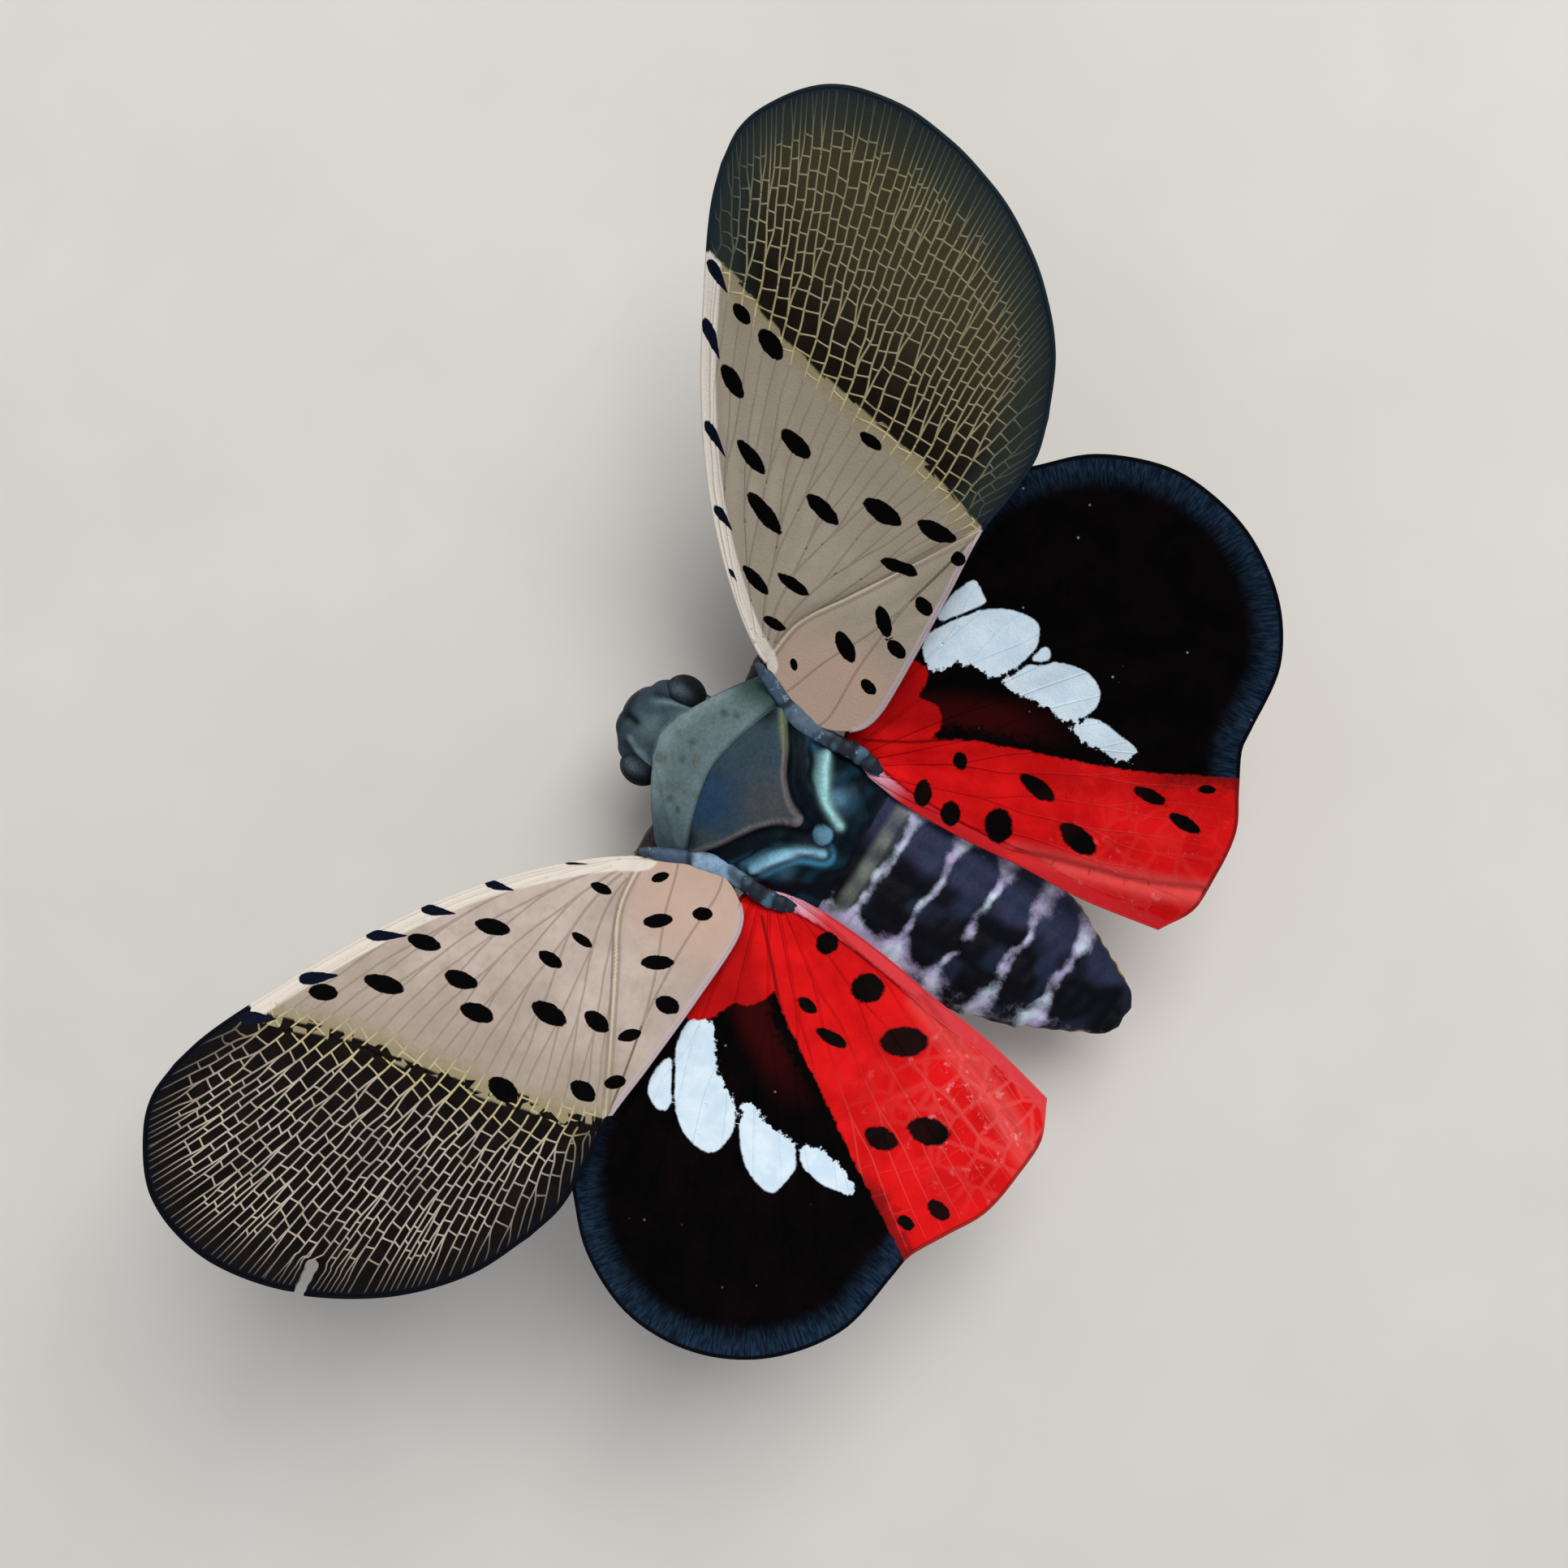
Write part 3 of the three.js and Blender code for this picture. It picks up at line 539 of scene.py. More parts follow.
    bloom = tail * (np.clip(band, 0, 1) * (0.56 + 0.2 * fine) + flank + 0.06 * speck)
    bloom += abdomen * (1 - above) * 0.25 + 0.1 * (1 - abdomen) * (1 - above)
    wax = {"paint": colour, "bloom": np.clip(bloom, 0, 1)}

    material, wire = new_material("cuticle")
    at = wire.place()
    grain = wire.noise(at, 9.0, 6.0)
    shade = wire.step(grain + wire.noise(at, 1.6, 3.0) * 0.6, 0.45, 1.15, 0.78, 1.22)
    dusty = wire.step(wire.value("bloom") + wire.noise(at, 2.0, 8.0, 0.7), 0.72, 1.34, 0.0, 0.95)
    powder = wire.mix(wire.step(wire.noise(at, 0.9), 0.4, 0.6), paint(186, 176, 214), paint(206, 222, 240))
    wire.surface(
        Base_Color=wire.mix(dusty, wire.shaded(wire.colour("paint"), shade), powder),
        Roughness=wire.step(grain - dusty, -0.6, 0.7, 0.95, 0.55), Specular_IOR_Level=0.08,
        bump=grain + wire.cells(at, 11.0) * -0.4, bump_size=0.012)
    new_piece("body_skin", placed(skin), loft_faces(len(points), columns), material,
              ("head", "pronotum", "mesothorax", "metathorax", "abdomen"), wax)


build_body()


# Eyes
# A compound eye swells from each side of the head, a dark slate dome of some thousand lenses
# whose rim is sunk into the skin.
EYE_CENTRE = np.array([1.43, -0.72, -0.42])
EYE_RADII = np.array([0.6, 0.7, 0.8])


def ball(rows, columns):
    """Unit sphere as rings of points from pole to pole, the end rings tiny and level."""
    down, turn = np.meshgrid(np.linspace(0.03, np.pi - 0.03, rows),
                             2 * np.pi * np.arange(columns) / columns, indexing="ij")
    return np.stack([np.sin(down) * np.cos(turn), np.sin(down) * np.sin(turn), np.cos(down)], axis=-1)


def build_eyes():
    """The dome's colour is mottled and painted lighter towards its top, with a painted highlight in a patch
    on top towards the front, and darkens to the outside.
    """
    rows, columns = 60, 84
    shape = EYE_CENTRE + EYE_RADII * ball(rows, columns).reshape(-1, 3)
    x, y, z = shape.T
    fine = unevenness(shape, 0.7, 51)
    colour = layered((24, 32, 42), [
        # mottled, and painted lighter towards the top
        ((46, 60, 70), ease(fine + 0.6 * (z + 0.2), -0.1, 0.9) * 0.85),
        # painted highlight on the front of the dome's top
        ((84, 100, 110), bump_at(np.hypot(x - 1.5, 0.6 * y + 0.58) + 0.1 * fine, 0.2) * ease(z, -0.3, 0.1)
         * 0.9),
        ((8, 11, 14), ease(x + 0.35 * y + 0.05 * fine, 1.25, 1.6) * 0.9),
    ])
    material, wire = new_material("eye")
    lens = wire.cells(wire.place(), 15.0)
    wire.surface(Base_Color=wire.shaded(wire.colour("paint"), wire.step(lens, 0.2, 0.6, 1.0, 0.6)),
                 Roughness=0.7, Specular_IOR_Level=0.12, bump=lens * -1.0, bump_size=0.015)
    for name, side in SIDES.items():
        new_piece("eye_" + name, placed(shape, side), loft_faces(rows, columns), material,
                  ["eye_" + name], {"paint": colour})


build_eyes()


# Feelers
# Each grows from below the eye: a short stalk, a swollen orange-red joint set with tiny pits, and
# a thin dark bristle.
FEELER_ROUTE = [(1.1, -0.8, -1.75), (1.34, -0.8, -2.0), (1.46, -0.8, -2.25), (1.54, -0.78, -2.54),
                (1.6, -0.72, -2.98), (1.6, -0.6, -3.55)]
FEELER_SHARES = [0, 0.14, 0.24, 0.32, 0.42, 0.5, 0.55, 0.6, 0.8, 1]
FEELER_RADII = [0.14, 0.16, 0.18, 0.25, 0.26, 0.21, 0.11, 0.07, 0.045, 0.02]


def tubes(paths, across, height=None, sides=6, up=(0.0, 0.0, 1.0)):
    """Corners and faces of tubes, one along each path, all paths of equal length.

    Each ring is cos(angle) times `across` sideways and sin(angle) times `height` towards `up`."""
    paths = np.asarray(paths, float)
    across = np.broadcast_to(across, paths.shape[:2])
    height = across if height is None else np.broadcast_to(height, paths.shape[:2])
    along = np.gradient(paths, axis=1)
    along /= np.linalg.norm(along, axis=-1, keepdims=True)
    side = np.cross(along, up)
    side /= np.linalg.norm(side, axis=-1, keepdims=True)
    top = np.cross(side, along)
    angle = 2 * np.pi * (np.arange(sides) + 0.5) / sides
    ring = side[:, :, None] * (np.cos(angle) * across[..., None])[..., None]
    ring = ring + top[:, :, None] * (np.sin(angle) * height[..., None])[..., None]
    points = (paths[:, :, None] + ring).reshape(-1, 3)
    count, steps = paths.shape[:2]
    first = np.arange(count)[:, None, None] * steps * sides
    return points, (loft_faces(steps, sides) + first).reshape(-1, 4)


def joined(*parts):
    """Several sets of corners and faces as one."""
    shift = np.cumsum([0] + [len(points) for points, _ in parts[:-1]])
    faces = [faces + start for (_, faces), start in zip(parts, shift)]
    return np.concatenate([points for points, _ in parts]), np.concatenate(faces)


def build_feelers():
    material, wire = new_material("feeler")
    at = wire.place()
    pits = wire.cells(at, 9.0)
    red = wire.mix(wire.step(pits, 0.1, 0.45), paint(150, 42, 14), paint(214, 88, 28))
    wire.surface(Base_Color=wire.mix(wire.value("bristle"), red, paint(24, 18, 16)), Roughness=0.42,
                 bump=pits, bump_size=0.04)
    share = np.linspace(0, 1, 70)
    radii = np.interp(share, FEELER_SHARES, FEELER_RADII)
    points, faces = tubes([curve(FEELER_ROUTE)(share)], radii[None], sides=24, up=(0, 1, 0))
    bristle = np.repeat(ease(share, 0.52, 0.57), 24)
    for name, side in SIDES.items():
        new_piece("feeler_" + name, placed(points, side), faces, material, ["antenna_" + name],
                  {"bristle": bristle})


build_feelers()


# Beak
# The jointed sheath of the sucking mouthparts starts at the foot of the face and lies back along
# the underside between the legs. It is of the same dark horn as the legs.
BEAK_ROUTE = [(0, -1.45, -2.55), (0, -1.05, -3.1), (0, -0.4, -3.6), (0, 2.2, -3.95), (0, 5.2, -4.05)]
BEAK_JOINTS = (0.3, 0.62)
BEAK_SHARES = [0, 0.12, 0.3, 0.62, 0.93, 1]
BEAK_RADII = [0.42, 0.36, 0.26, 0.24, 0.2, 0.07]


def dark_material():
    """Black-brown horn with fine lengthwise wrinkles and a little wax in the hollows."""
    material, wire = new_material("dark_horn")
    at = wire.place()
    grain = wire.noise(at, 7.0, 5.0)
    tint = wire.mix(wire.step(grain, 0.35, 0.7), paint(20, 15, 14), paint(62, 48, 40))
    dusty = wire.step(wire.noise(at, 3.0, 6.0), 0.62, 0.8, 0.0, 0.45)
    wire.surface(Base_Color=wire.mix(dusty, tint, paint(170, 165, 168)),
                 Roughness=wire.step(grain, 0.3, 0.7, 0.32, 0.6), bump=grain, bump_size=0.03)
    return material


dark_horn = dark_material()


def build_beak():
    share = np.linspace(0, 1, 160)
    pinch = sum(bump_at(share - joint, 0.012) for joint in BEAK_JOINTS)
    radius = (np.interp(share, BEAK_SHARES, BEAK_RADII) * (1 - 0.3 * pinch))[None]
    points, faces = tubes([curve(BEAK_ROUTE)(share)], radius, 0.85 * radius, sides=28, up=(0, -0.3, 1))
    new_piece("beak", placed(points), faces, dark_horn, ["rostrum"])


build_beak()


# Legs
# Six slim, dark legs: hip, thigh, ridged shin with short bristles, a foot of three joints that
# lies on the floor, and two claws. The hind shins carry a row of stout spines.
FLOOR = -body_origin[2] / MM
# Hip, knee, ankle and, flat on the floor, the tip of the foot.
LEGS = {
    "fore": ((1.25, 0.95, -2.6), (4.5, 0.85, -2.25), (7.1, 0.2, -6.05), (8.7, -0.4)),
    "mid": ((1.75, 3.2, -2.9), (5.4, 4.3, -2.1), (8.4, 4.7, -6.05), (10.1, 4.9)),
    "hind": ((1.7, 5.6, -3.0), (5.3, 8.2, -2.6), (7.3, 12.6, -6.05), (8.1, 14.6)),
}
HIP_LENGTH = 0.95
FOOT_RADIUS = 0.17
SPINE_LENGTH = 0.5
BRISTLE_LENGTH = 0.22


def straight(start, end, steps):
    """Evenly spaced points from one place to another."""
    return start + (end - start) * np.linspace(0, 1, steps)[:, None]


def limb(start, end, shares, radii, steps=60, sides=20, flat=0.85, ridges=0.04):
    """A straight tube whose radius follows the shares, flattened, with four low lengthwise ridges."""
    radius = np.interp(np.linspace(0, 1, steps), shares, radii)[None]
    points, faces = tubes([straight(start, end, steps)], radius, flat * radius, sides=sides)
    middle = np.repeat(straight(start, end, steps), sides, axis=0)
    swell = 1 + ridges * np.cos(4 * np.tile(2 * np.pi * np.arange(sides) / sides, steps))
    return middle + (points - middle) * swell[:, None], faces


def spikes(roots, tips, radius, sides):
    """Thin cones from each root to each tip."""
    paths = np.stack([roots, (roots + tips) / 2, tips], axis=1)
    radii = radius * np.array([1, 0.6, 0.15])
    return tubes(paths, radii[None], sides=sides, up=(0.31, 0.2, 0.93))


def bristles(start, end, radius, seed, count=70):
    """Short hairs that lean towards the end of a limb, set at random round it."""
    draw = np.random.default_rng(seed)
    share = draw.uniform(0.08, 0.96, count)[:, None]
    along = (end - start) / np.linalg.norm(end - start)
    outward = draw.normal(size=(count, 3))
    outward -= (outward @ along)[:, None] * along
    outward /= np.linalg.norm(outward, axis=1, keepdims=True)
    roots = start + (end - start) * share + 0.8 * radius * outward
    lean = BRISTLE_LENGTH * draw.uniform(0.6, 1.1, count)[:, None]
    return spikes(roots, roots + lean * (0.6 * outward + 0.8 * along), 0.014, sides=4)


def foot(ankle, toe):
    """Three joints, each swelling to its end, a pad and two hooked claws, resting on the floor."""
    ahead = (toe - ankle) * [1, 1, 0]
    ahead /= np.linalg.norm(ahead)
    aside = np.array([-ahead[1], ahead[0], 0])
    share = np.linspace(0, 1, 90)
    swell = [0.75, 1.0, 0.72, 1.0, 0.7, 0.8, 1.05, 0.6]
    radius = FOOT_RADIUS * np.interp(share, [0, 0.26, 0.3, 0.52, 0.56, 0.8, 0.95, 1], swell)
    path = straight(ankle, toe, 90)
    path[:, 2] = FLOOR + radius + (ankle[2] - FLOOR - radius[0]) * (1 - ease(share, 0.0, 0.3))
    parts = [tubes([path], radius[None], sides=16)]
    for turn in (-1, 1):
        root = path[-4] + 0.05 * turn * aside
        claw = curve([root, root + 0.22 * ahead + 0.12 * turn * aside + [0, 0, 0.1],
                      root + 0.42 * ahead + 0.17 * turn * aside + [0, 0, -0.04]])(np.linspace(0, 1, 14))
        claw[:, 2] = np.maximum(claw[:, 2], FLOOR + 0.04)
        parts.append(tubes([claw], np.linspace(0.06, 0.012, 14)[None], sides=8))
    return joined(*parts)


def build_leg(name, hip, knee, ankle, toe, seed):
    hip, knee, ankle, toe = np.array([hip, knee, ankle, (*toe, FLOOR + FOOT_RADIUS)])
    thigh_start = hip + (knee - hip) / np.linalg.norm(knee - hip) * HIP_LENGTH
    parts = {
        "hip": limb(hip, thigh_start, [0, 0.55, 0.8, 1], [0.62, 0.5, 0.46, 0.3], flat=1.0),
        "femur": joined(
            limb(thigh_start, knee, [0, 0.05, 0.16, 0.55, 0.9, 1], [0.26, 0.36, 0.27, 0.38, 0.3, 0.2]),
            bristles(thigh_start, knee, 0.34, seed)),
        "tibia": joined(
            limb(knee, ankle, [0, 0.06, 0.14, 0.9, 1], [0.2, 0.24, 0.17, 0.19, 0.17], sides=16, ridges=0.1),
            bristles(knee, ankle, 0.18, seed + 1, count=130)),
        "foot": foot(ankle, toe),
    }
    if name == "hind":
        down = (ankle - knee) / np.linalg.norm(ankle - knee)
        roots = knee + (ankle - knee) * np.array([0.3, 0.5, 0.7, 0.86])[:, None]
        tips = roots + (0.18 + SPINE_LENGTH) * np.array([0.98, 0, 0.2]) + 0.7 * SPINE_LENGTH * down
        parts["tibia"] = joined(parts["tibia"], spikes(roots, tips, 0.11, sides=10))
    for part, (points, faces) in parts.items():
        for side_name, side in SIDES.items():
            label = name + "_" + part + "_" + side_name
            new_piece(label, placed(points, side), faces, dark_horn, [] if part == "hip" else [label])


for number, leg_name in enumerate(LEGS):
    build_leg(leg_name, *LEGS[leg_name], seed=50 + 10 * number)


# Wing roots
# A strip of wrinkled, bluish skin joins both wings of a side to the thorax, with a small dark
# shield, the tegula, at its front and a pale plate behind that.
ROOT_ROUTE = [(3.6, 0.75, 0.88), (3.3, 1.5, 0.7), (2.95, 2.3, 0.5), (2.74, 3.2, 0.38), (2.74, 4.2, 0.22),
              (2.8, 5.1, 0.0), (2.64, 6.2, -0.3)]
ROOT_WIDTHS = ((0, 0.26, 0.34, 0.62, 1), (0.22, 0.23, 0.33, 0.3, 0.27))  # half widths along the strip
ROOT_HALF_HEIGHT = 0.13
TEGULA_END, PALE_PLATE_END = 0.3, 0.58  # shares of the strip
PLATE_PALENESS = {"left": 0.9, "right": 0.3}


def build_wing_roots():
    """A flattened tube along the route, narrow at its ends and at the joints, wrinkled by noise."""
    rows, columns = 170, 48
    share = np.linspace(0, 1, rows)
    swell = np.clip(np.minimum(share + 0.02, 1.02 - share) / 0.12, 0.02, 1) ** 0.5
    swell = swell * (1 - 0.14 * bump_at(share - TEGULA_END, 0.03)
                     - 0.12 * bump_at(share - PALE_PLATE_END, 0.03))
    route = curve(ROOT_ROUTE)(share)
    width = np.interp(share, *ROOT_WIDTHS) * swell
    points, faces = tubes([route], width[None], ROOT_HALF_HEIGHT * swell[None], sides=columns)
    centre = np.repeat(route, columns, axis=0)
    rear = ease(np.repeat(share, columns), 0.5, 0.7)
    ridge = 1 + (0.05 + 0.1 * rear) * unevenness(points * [1, 1.6, 1], 0.6, 71)
    ridge += 0.05 * rear * unevenness(points, 0.3, 72)
    points = centre + (points - centre) * ridge[:, None]
    fine = unevenness(points, 0.7, 74)
    along = np.repeat(share, columns) + 0.02 * unevenness(points, 0.6, 73)
    plate = ease(along, 0.29, 0.34) * (1 - ease(along + 0.06 * fine, 0.52, 0.62))
    coats = [
        ((62, 104, 122), ease(fine, 0.0, 0.9) * ease(along, 0.5, 0.62)),
        ((56, 78, 100), 1 - ease(along, 0.26, 0.29)),
        ((24, 34, 50), bump_at(along - 0.285, 0.018) + (1 - ease(along + 0.05 * fine, 0.02, 0.1)) * 0.6),
    ]
    material, wire = new_material("wing_root")
    at = wire.place()
    grain = wire.noise(at, 5.0, 6.0)
    flecks = wire.step(wire.noise(at, 4.0, 5.0), 0.6, 0.72, 0.0, 0.5)
    base = wire.shaded(wire.colour("paint"), wire.step(grain, 0.3, 0.7, 0.75, 1.2))
    wire.surface(Base_Color=wire.mix(flecks, base, paint(170, 190, 208)), Roughness=0.6,
                 Specular_IOR_Level=0.35, bump=grain, bump_size=0.02)
    for name, side in SIDES.items():
        pale = ((130, 162, 190), plate * PLATE_PALENESS[name])
        new_piece("wing_root_" + name, placed(points, side), faces, material,
                  values={"paint": layered((14, 28, 42), [*coats, pale])})


build_wing_roots()


# Forewings
# Leathery, opaque and tan in their inner two thirds, with dark oval spots, then a net of pale
# veins round blackish cells out to the rounded tip. The membrane is stretched between the veins.
FORE_HINGE = np.array([3.6, 1.1, 0.75])
FORE_RAISED = np.radians(28)
CLAVUS_TIP = (8.2, 3.42)
COSTAL_END = (11.1, -7.72)  # where the tan part ends on the leading edge
FORE_FRONT = [(0.1, -0.1), (1.2, -1.5), (4.0, -4.05), (7.3, -6.05), (10.6, -7.55), (12.5, -8.26),
              (13.6, -8.5)]
FORE_RIM = [(13.6, -8.5), (14.7, -8.5), (15.7, -8.1), (17.2, -6.75), (17.85, -4.5), (17.3, -1.7),
            (15.9, 0.75), (14.1, 2.4), (12.3, 3.25)]
FORE_REAR = [(-0.3, 3.35), (0.1, 3.66), (0.75, 3.84), (3.2, 3.78), (5.9, 3.6), CLAVUS_TIP, (9.6, 3.56),
             (11.1, 3.58), (12.3, 3.25)]
FORE_BASE = [(0.1, -0.1), (-0.5, 0.75), (-0.8, 1.4), (-0.84, 2.1), (-0.66, 2.8), (-0.3, 3.35)]
SUTURE = [(0.1, -0.1), (2.0, 0.15), (3.8, 1.1), (5.3, 1.9), (6.9, 2.75), CLAVUS_TIP]
TAN_EDGE = [COSTAL_END, (10.85, -6.6), (10.3, -5.0), (9.85, -3.2), (9.45, -0.9), (9.1, 0.9),
            (8.6, 2.4), CLAVUS_TIP]
CLAVUS_REAR = 0.62  # the share of the rear edge along which the clavus's veins run
MEMBRANE = 0.05
TEAR = np.array([(17.25, -1.6), (16.2, -1.75)])  # a split in the left wing's rim, from outside it inwards
TEAR_HALF_WIDTH = 0.14
TEAR_FADE = 0.4
# Painted light and shade by side: the right wing is turned from the lamp, so its tan is painted darker as
# shade and its net lighter with painted light through the cells.
NET_PAINTED_LIGHT = {"left": 0.0, "right": 0.75}
# Spots: out from the hinge, back from it, length, width, and the turn of the length in degrees.
FORE_SPOTS = {
    "left": [
        (1.8, -0.7, 0.73, 0.35, -82), (1.7, 1.4, 1.0, 0.46, -48), (0.7, 2.5, 0.67, 0.46, -56),
        (2.9, 2.1, 1.08, 0.48, -57), (4.8, -2.9, 1.15, 0.53, -72), (6.4, -4.4, 1.09, 0.52, -75),
        (3.6, -0.3, 0.78, 0.32, 87), (4.7, -0.8, 0.85, 0.45, -90), (6.8, -2.8, 1.09, 0.57, -77),
        (8.2, -4.7, 1.28, 0.56, -75), (9.4, -6.1, 0.88, 0.54, -62), (7.4, -1.8, 1.09, 0.59, -78),
        (6.2, 0.1, 1.22, 0.65, -88), (5.6, 1.5, 0.92, 0.57, 84), (5.4, 2.6, 0.78, 0.39, -42),
        (3.9, 3.1, 0.83, 0.58, -77), (9.0, 0.2, 1.08, 0.68, 87), (7.7, 2.3, 0.91, 0.59, 87),
        (6.9, 3.0, 0.69, 0.43, -47), (0.4, 0.7, 0.62, 0.32, -36),
    ],
    "right": [
        (10.0, -6.0, 0.73, 0.45, -71), (9.7, -4.8, 1.05, 0.63, -68), (8.0, -5.3, 1.16, 0.54, -59),
        (6.2, -3.7, 1.33, 0.5, -68), (7.4, -2.7, 1.17, 0.6, -76), (8.8, -0.8, 0.8, 0.4, -82),
        (4.8, -2.5, 1.63, 0.57, -68), (6.0, -1.0, 1.29, 0.56, -76), (7.0, 0.6, 1.36, 0.66, -89),
        (7.4, 2.3, 1.28, 0.6, 85), (2.6, -1.7, 1.18, 0.44, -70), (3.2, -0.6, 1.17, 0.44, -87),
        (5.7, 1.9, 1.2, 0.47, 79), (7.0, 3.3, 0.46, 0.5, 55), (1.6, -0.5, 0.8, 0.39, 90),
        (2.3, 1.8, 1.15, 0.57, -53), (3.8, 2.4, 1.11, 0.49, -44), (5.0, 3.2, 0.72, 0.5, -60),
        (3.2, 3.2, 0.77, 0.49, -72), (1.5, 3.1, 0.63, 0.44, -70), (0.7, 0.7, 0.45, 0.25, -37),
    ],
}
# Bars on the pale strip of the leading edge, given like the spots.
COSTAL_BARS = {
    "left": [(1.55, -1.8, 0.75, 0.12, -58), (3.55, -3.45, 0.95, 0.38, -73), (5.3, -4.62, 1.1, 0.44, -66),
             (6.85, -5.5, 1.25, 0.46, -57), (9.1, -6.5, 1.2, 0.54, -51), (11.15, -7.3, 1.15, 0.54, -59)],
    "right": [(2.32, -2.4, 0.5, 0.16, -60), (3.85, -3.55, 0.95, 0.4, -65), (6.05, -4.95, 1.25, 0.44, -58),
              (8.8, -6.45, 1.25, 0.5, -50), (10.6, -7.15, 1.1, 0.46, -58)],
}


def coons(front, rear, base, rim, s, t):
    """Places between four edges: front to rear and base to rim blends added, less the corners' blend."""
    a, b = s[..., None], t[..., None]
    corners = (1 - a) * (1 - b) * front(0.0) + a * (1 - b) * front(1.0) + (1 - a) * b * rear(0.0)
    corners = corners + a * b * rear(1.0)
    return (1 - b) * front(s) + b * rear(s) + (1 - a) * base(t) + a * rim(t) - corners


def leaf(places, heights, thickness, keep=True):
    """Both faces of a thin sheet over a grid, and a wall along each edge that only one kept face has."""
    rows, columns = heights.shape
    count = rows * columns
    middle = np.concatenate([places, heights[..., None]], axis=-1).reshape(-1, 3)
    points = np.concatenate([middle + [0, 0, thickness / 2], middle - [0, 0, thickness / 2]])
    i, j = np.meshgrid(np.arange(rows - 1), np.arange(columns - 1), indexing="ij")
    a = (i * columns + j)[np.broadcast_to(keep, i.shape)]
    upper = np.stack([a, a + 1, a + 1 + columns, a + columns], axis=-1)
    start, end = upper.ravel(), np.roll(upper, -1, axis=1).ravel()
    border = ~np.isin(start * count + end, end * count + start)
    start, end = start[border], end[border]
    wall = np.stack([end, start, start + count, end + count], axis=-1)
    return points, np.concatenate([upper, upper[:, ::-1] + count, wall])


def nearest_oval(places, marks):
    """Each place in the frame of its nearest oval, in half lengths and half widths, and how far inside."""
    nearest = np.full((len(places), 3), -9.0)
    for u, v, length, width, turn in marks:
        across = places - [u, v]
        c, s = np.cos(np.radians(turn)), np.sin(np.radians(turn))
        x, y = across @ [c, s] / (length / 2), across @ [-s, c] / (width / 2)
        local = np.stack([x, y, (1 - np.hypot(x, y)) * width / 2], axis=-1)
        nearest = np.where((local[:, 2] > nearest[:, 2])[:, None], local, nearest)
    return nearest


def wing_pose(points, hinge, raised, twist):
    """Turns a wing drawn flat about its hinge: first the rear edge up, then the tip up."""
    (ct, st), (cr, sr) = (np.cos(twist), np.sin(twist)), (np.cos(raised), np.sin(raised))
    u, v, n = points.T
    v, n = ct * v - st * n, st * v + ct * n
    return hinge + np.stack([cr * u - sr * n, v, sr * u + cr * n], axis=-1)


fore_front, fore_rim = curve(FORE_FRONT), curve(FORE_RIM)
fore_rear, fore_base = curve(FORE_REAR), curve(FORE_BASE)
fore_suture, tan_edge = curve(SUTURE), curve(TAN_EDGE)
fore_outline = np.concatenate([
    fore_front(np.linspace(0, 1, 90)), fore_rim(np.linspace(0, 1, 110))[1:],
    fore_rear(np.linspace(1, 0, 90))[1:]])
net_margin_start = path_distance(np.array([COSTAL_END]), fore_outline)[1][0]
net_margin_end = path_distance(np.array([CLAVUS_TIP]), fore_outline)[1][0]
tan_front_share = path_distance(np.array([COSTAL_END]), fore_front(np.linspace(0, 1, 200)))[1][0]
tan_front_share /= path_distance(np.array([FORE_FRONT[-1]]), fore_front(np.linspace(0, 1, 200)))[1][0]


def on_outline(reach):
    """The place on the forewing's outline at a length from its root, round the tip."""
    steps = np.linalg.norm(np.diff(fore_outline, axis=0), axis=1)
    travel = np.concatenate([[0], np.cumsum(steps)])
    return np.stack([np.interp(reach, travel, axis) for axis in fore_outline.T], axis=-1)


def fore_height(places):
    """The forewing's low dome, highest towards the tip, with a crease at the suture and slow waves."""
    u, v = places.T
    half = np.interp(u, [0, 5, 10, 14, 17.9], [1.9, 4.2, 5.4, 5.1, 3.0])
    dome = 0.35 * np.clip(u / 17.8, 0, 1) * np.cos(np.pi / 2 * np.clip((v - 1.3 + 0.32 * u) / half, -1, 1))
    crease = path_distance(places, fore_suture(np.linspace(0, 1, 40)))[0]
    fan = np.arctan2(v + 0.1, u + 1.5)
    ribs = 0.02 * np.cos(70 * fan) * ease(u, 2.5, 6.0)
    return dome - 0.13 * bump_at(crease, 0.22) + 0.05 * unevenness(places, 6.0, 31) + ribs


def beside_tear(places):
    """Distance to either side of the tear's line, and the share of the tear passed on the way in."""
    way = TEAR[1] - TEAR[0]
    offset = places - TEAR[0]
    return offset @ [-way[1], way[0]] / np.linalg.norm(way), offset @ way / (way @ way)


def torn(places, side=None):
    """Places pushed off the tear's line by its half width times e to the minus their distance over its fade.

    Where a side is given, places on the tear's other side are first brought to its line."""
    aside, share = beside_tear(places)
    side = np.where(aside < 0, -1, 1) if side is None else side
    width = TEAR_HALF_WIDTH * (1 + 0.4 * np.clip(share, 0, 1) + 0.1 * np.sin(19 * share))
    width = width * (1 - ease(share, 0.86, 0.96)) * ease(share, -1.2, -0.4)
    stray = np.where(share < 1, np.minimum(aside * side, 0), 0)
    push = side * (width * np.exp(-np.abs(aside) / TEAR_FADE) - stray)
    way = TEAR[1] - TEAR[0]
    return places + push[..., None] * np.array([-way[1], way[0]]) / np.linalg.norm(way)


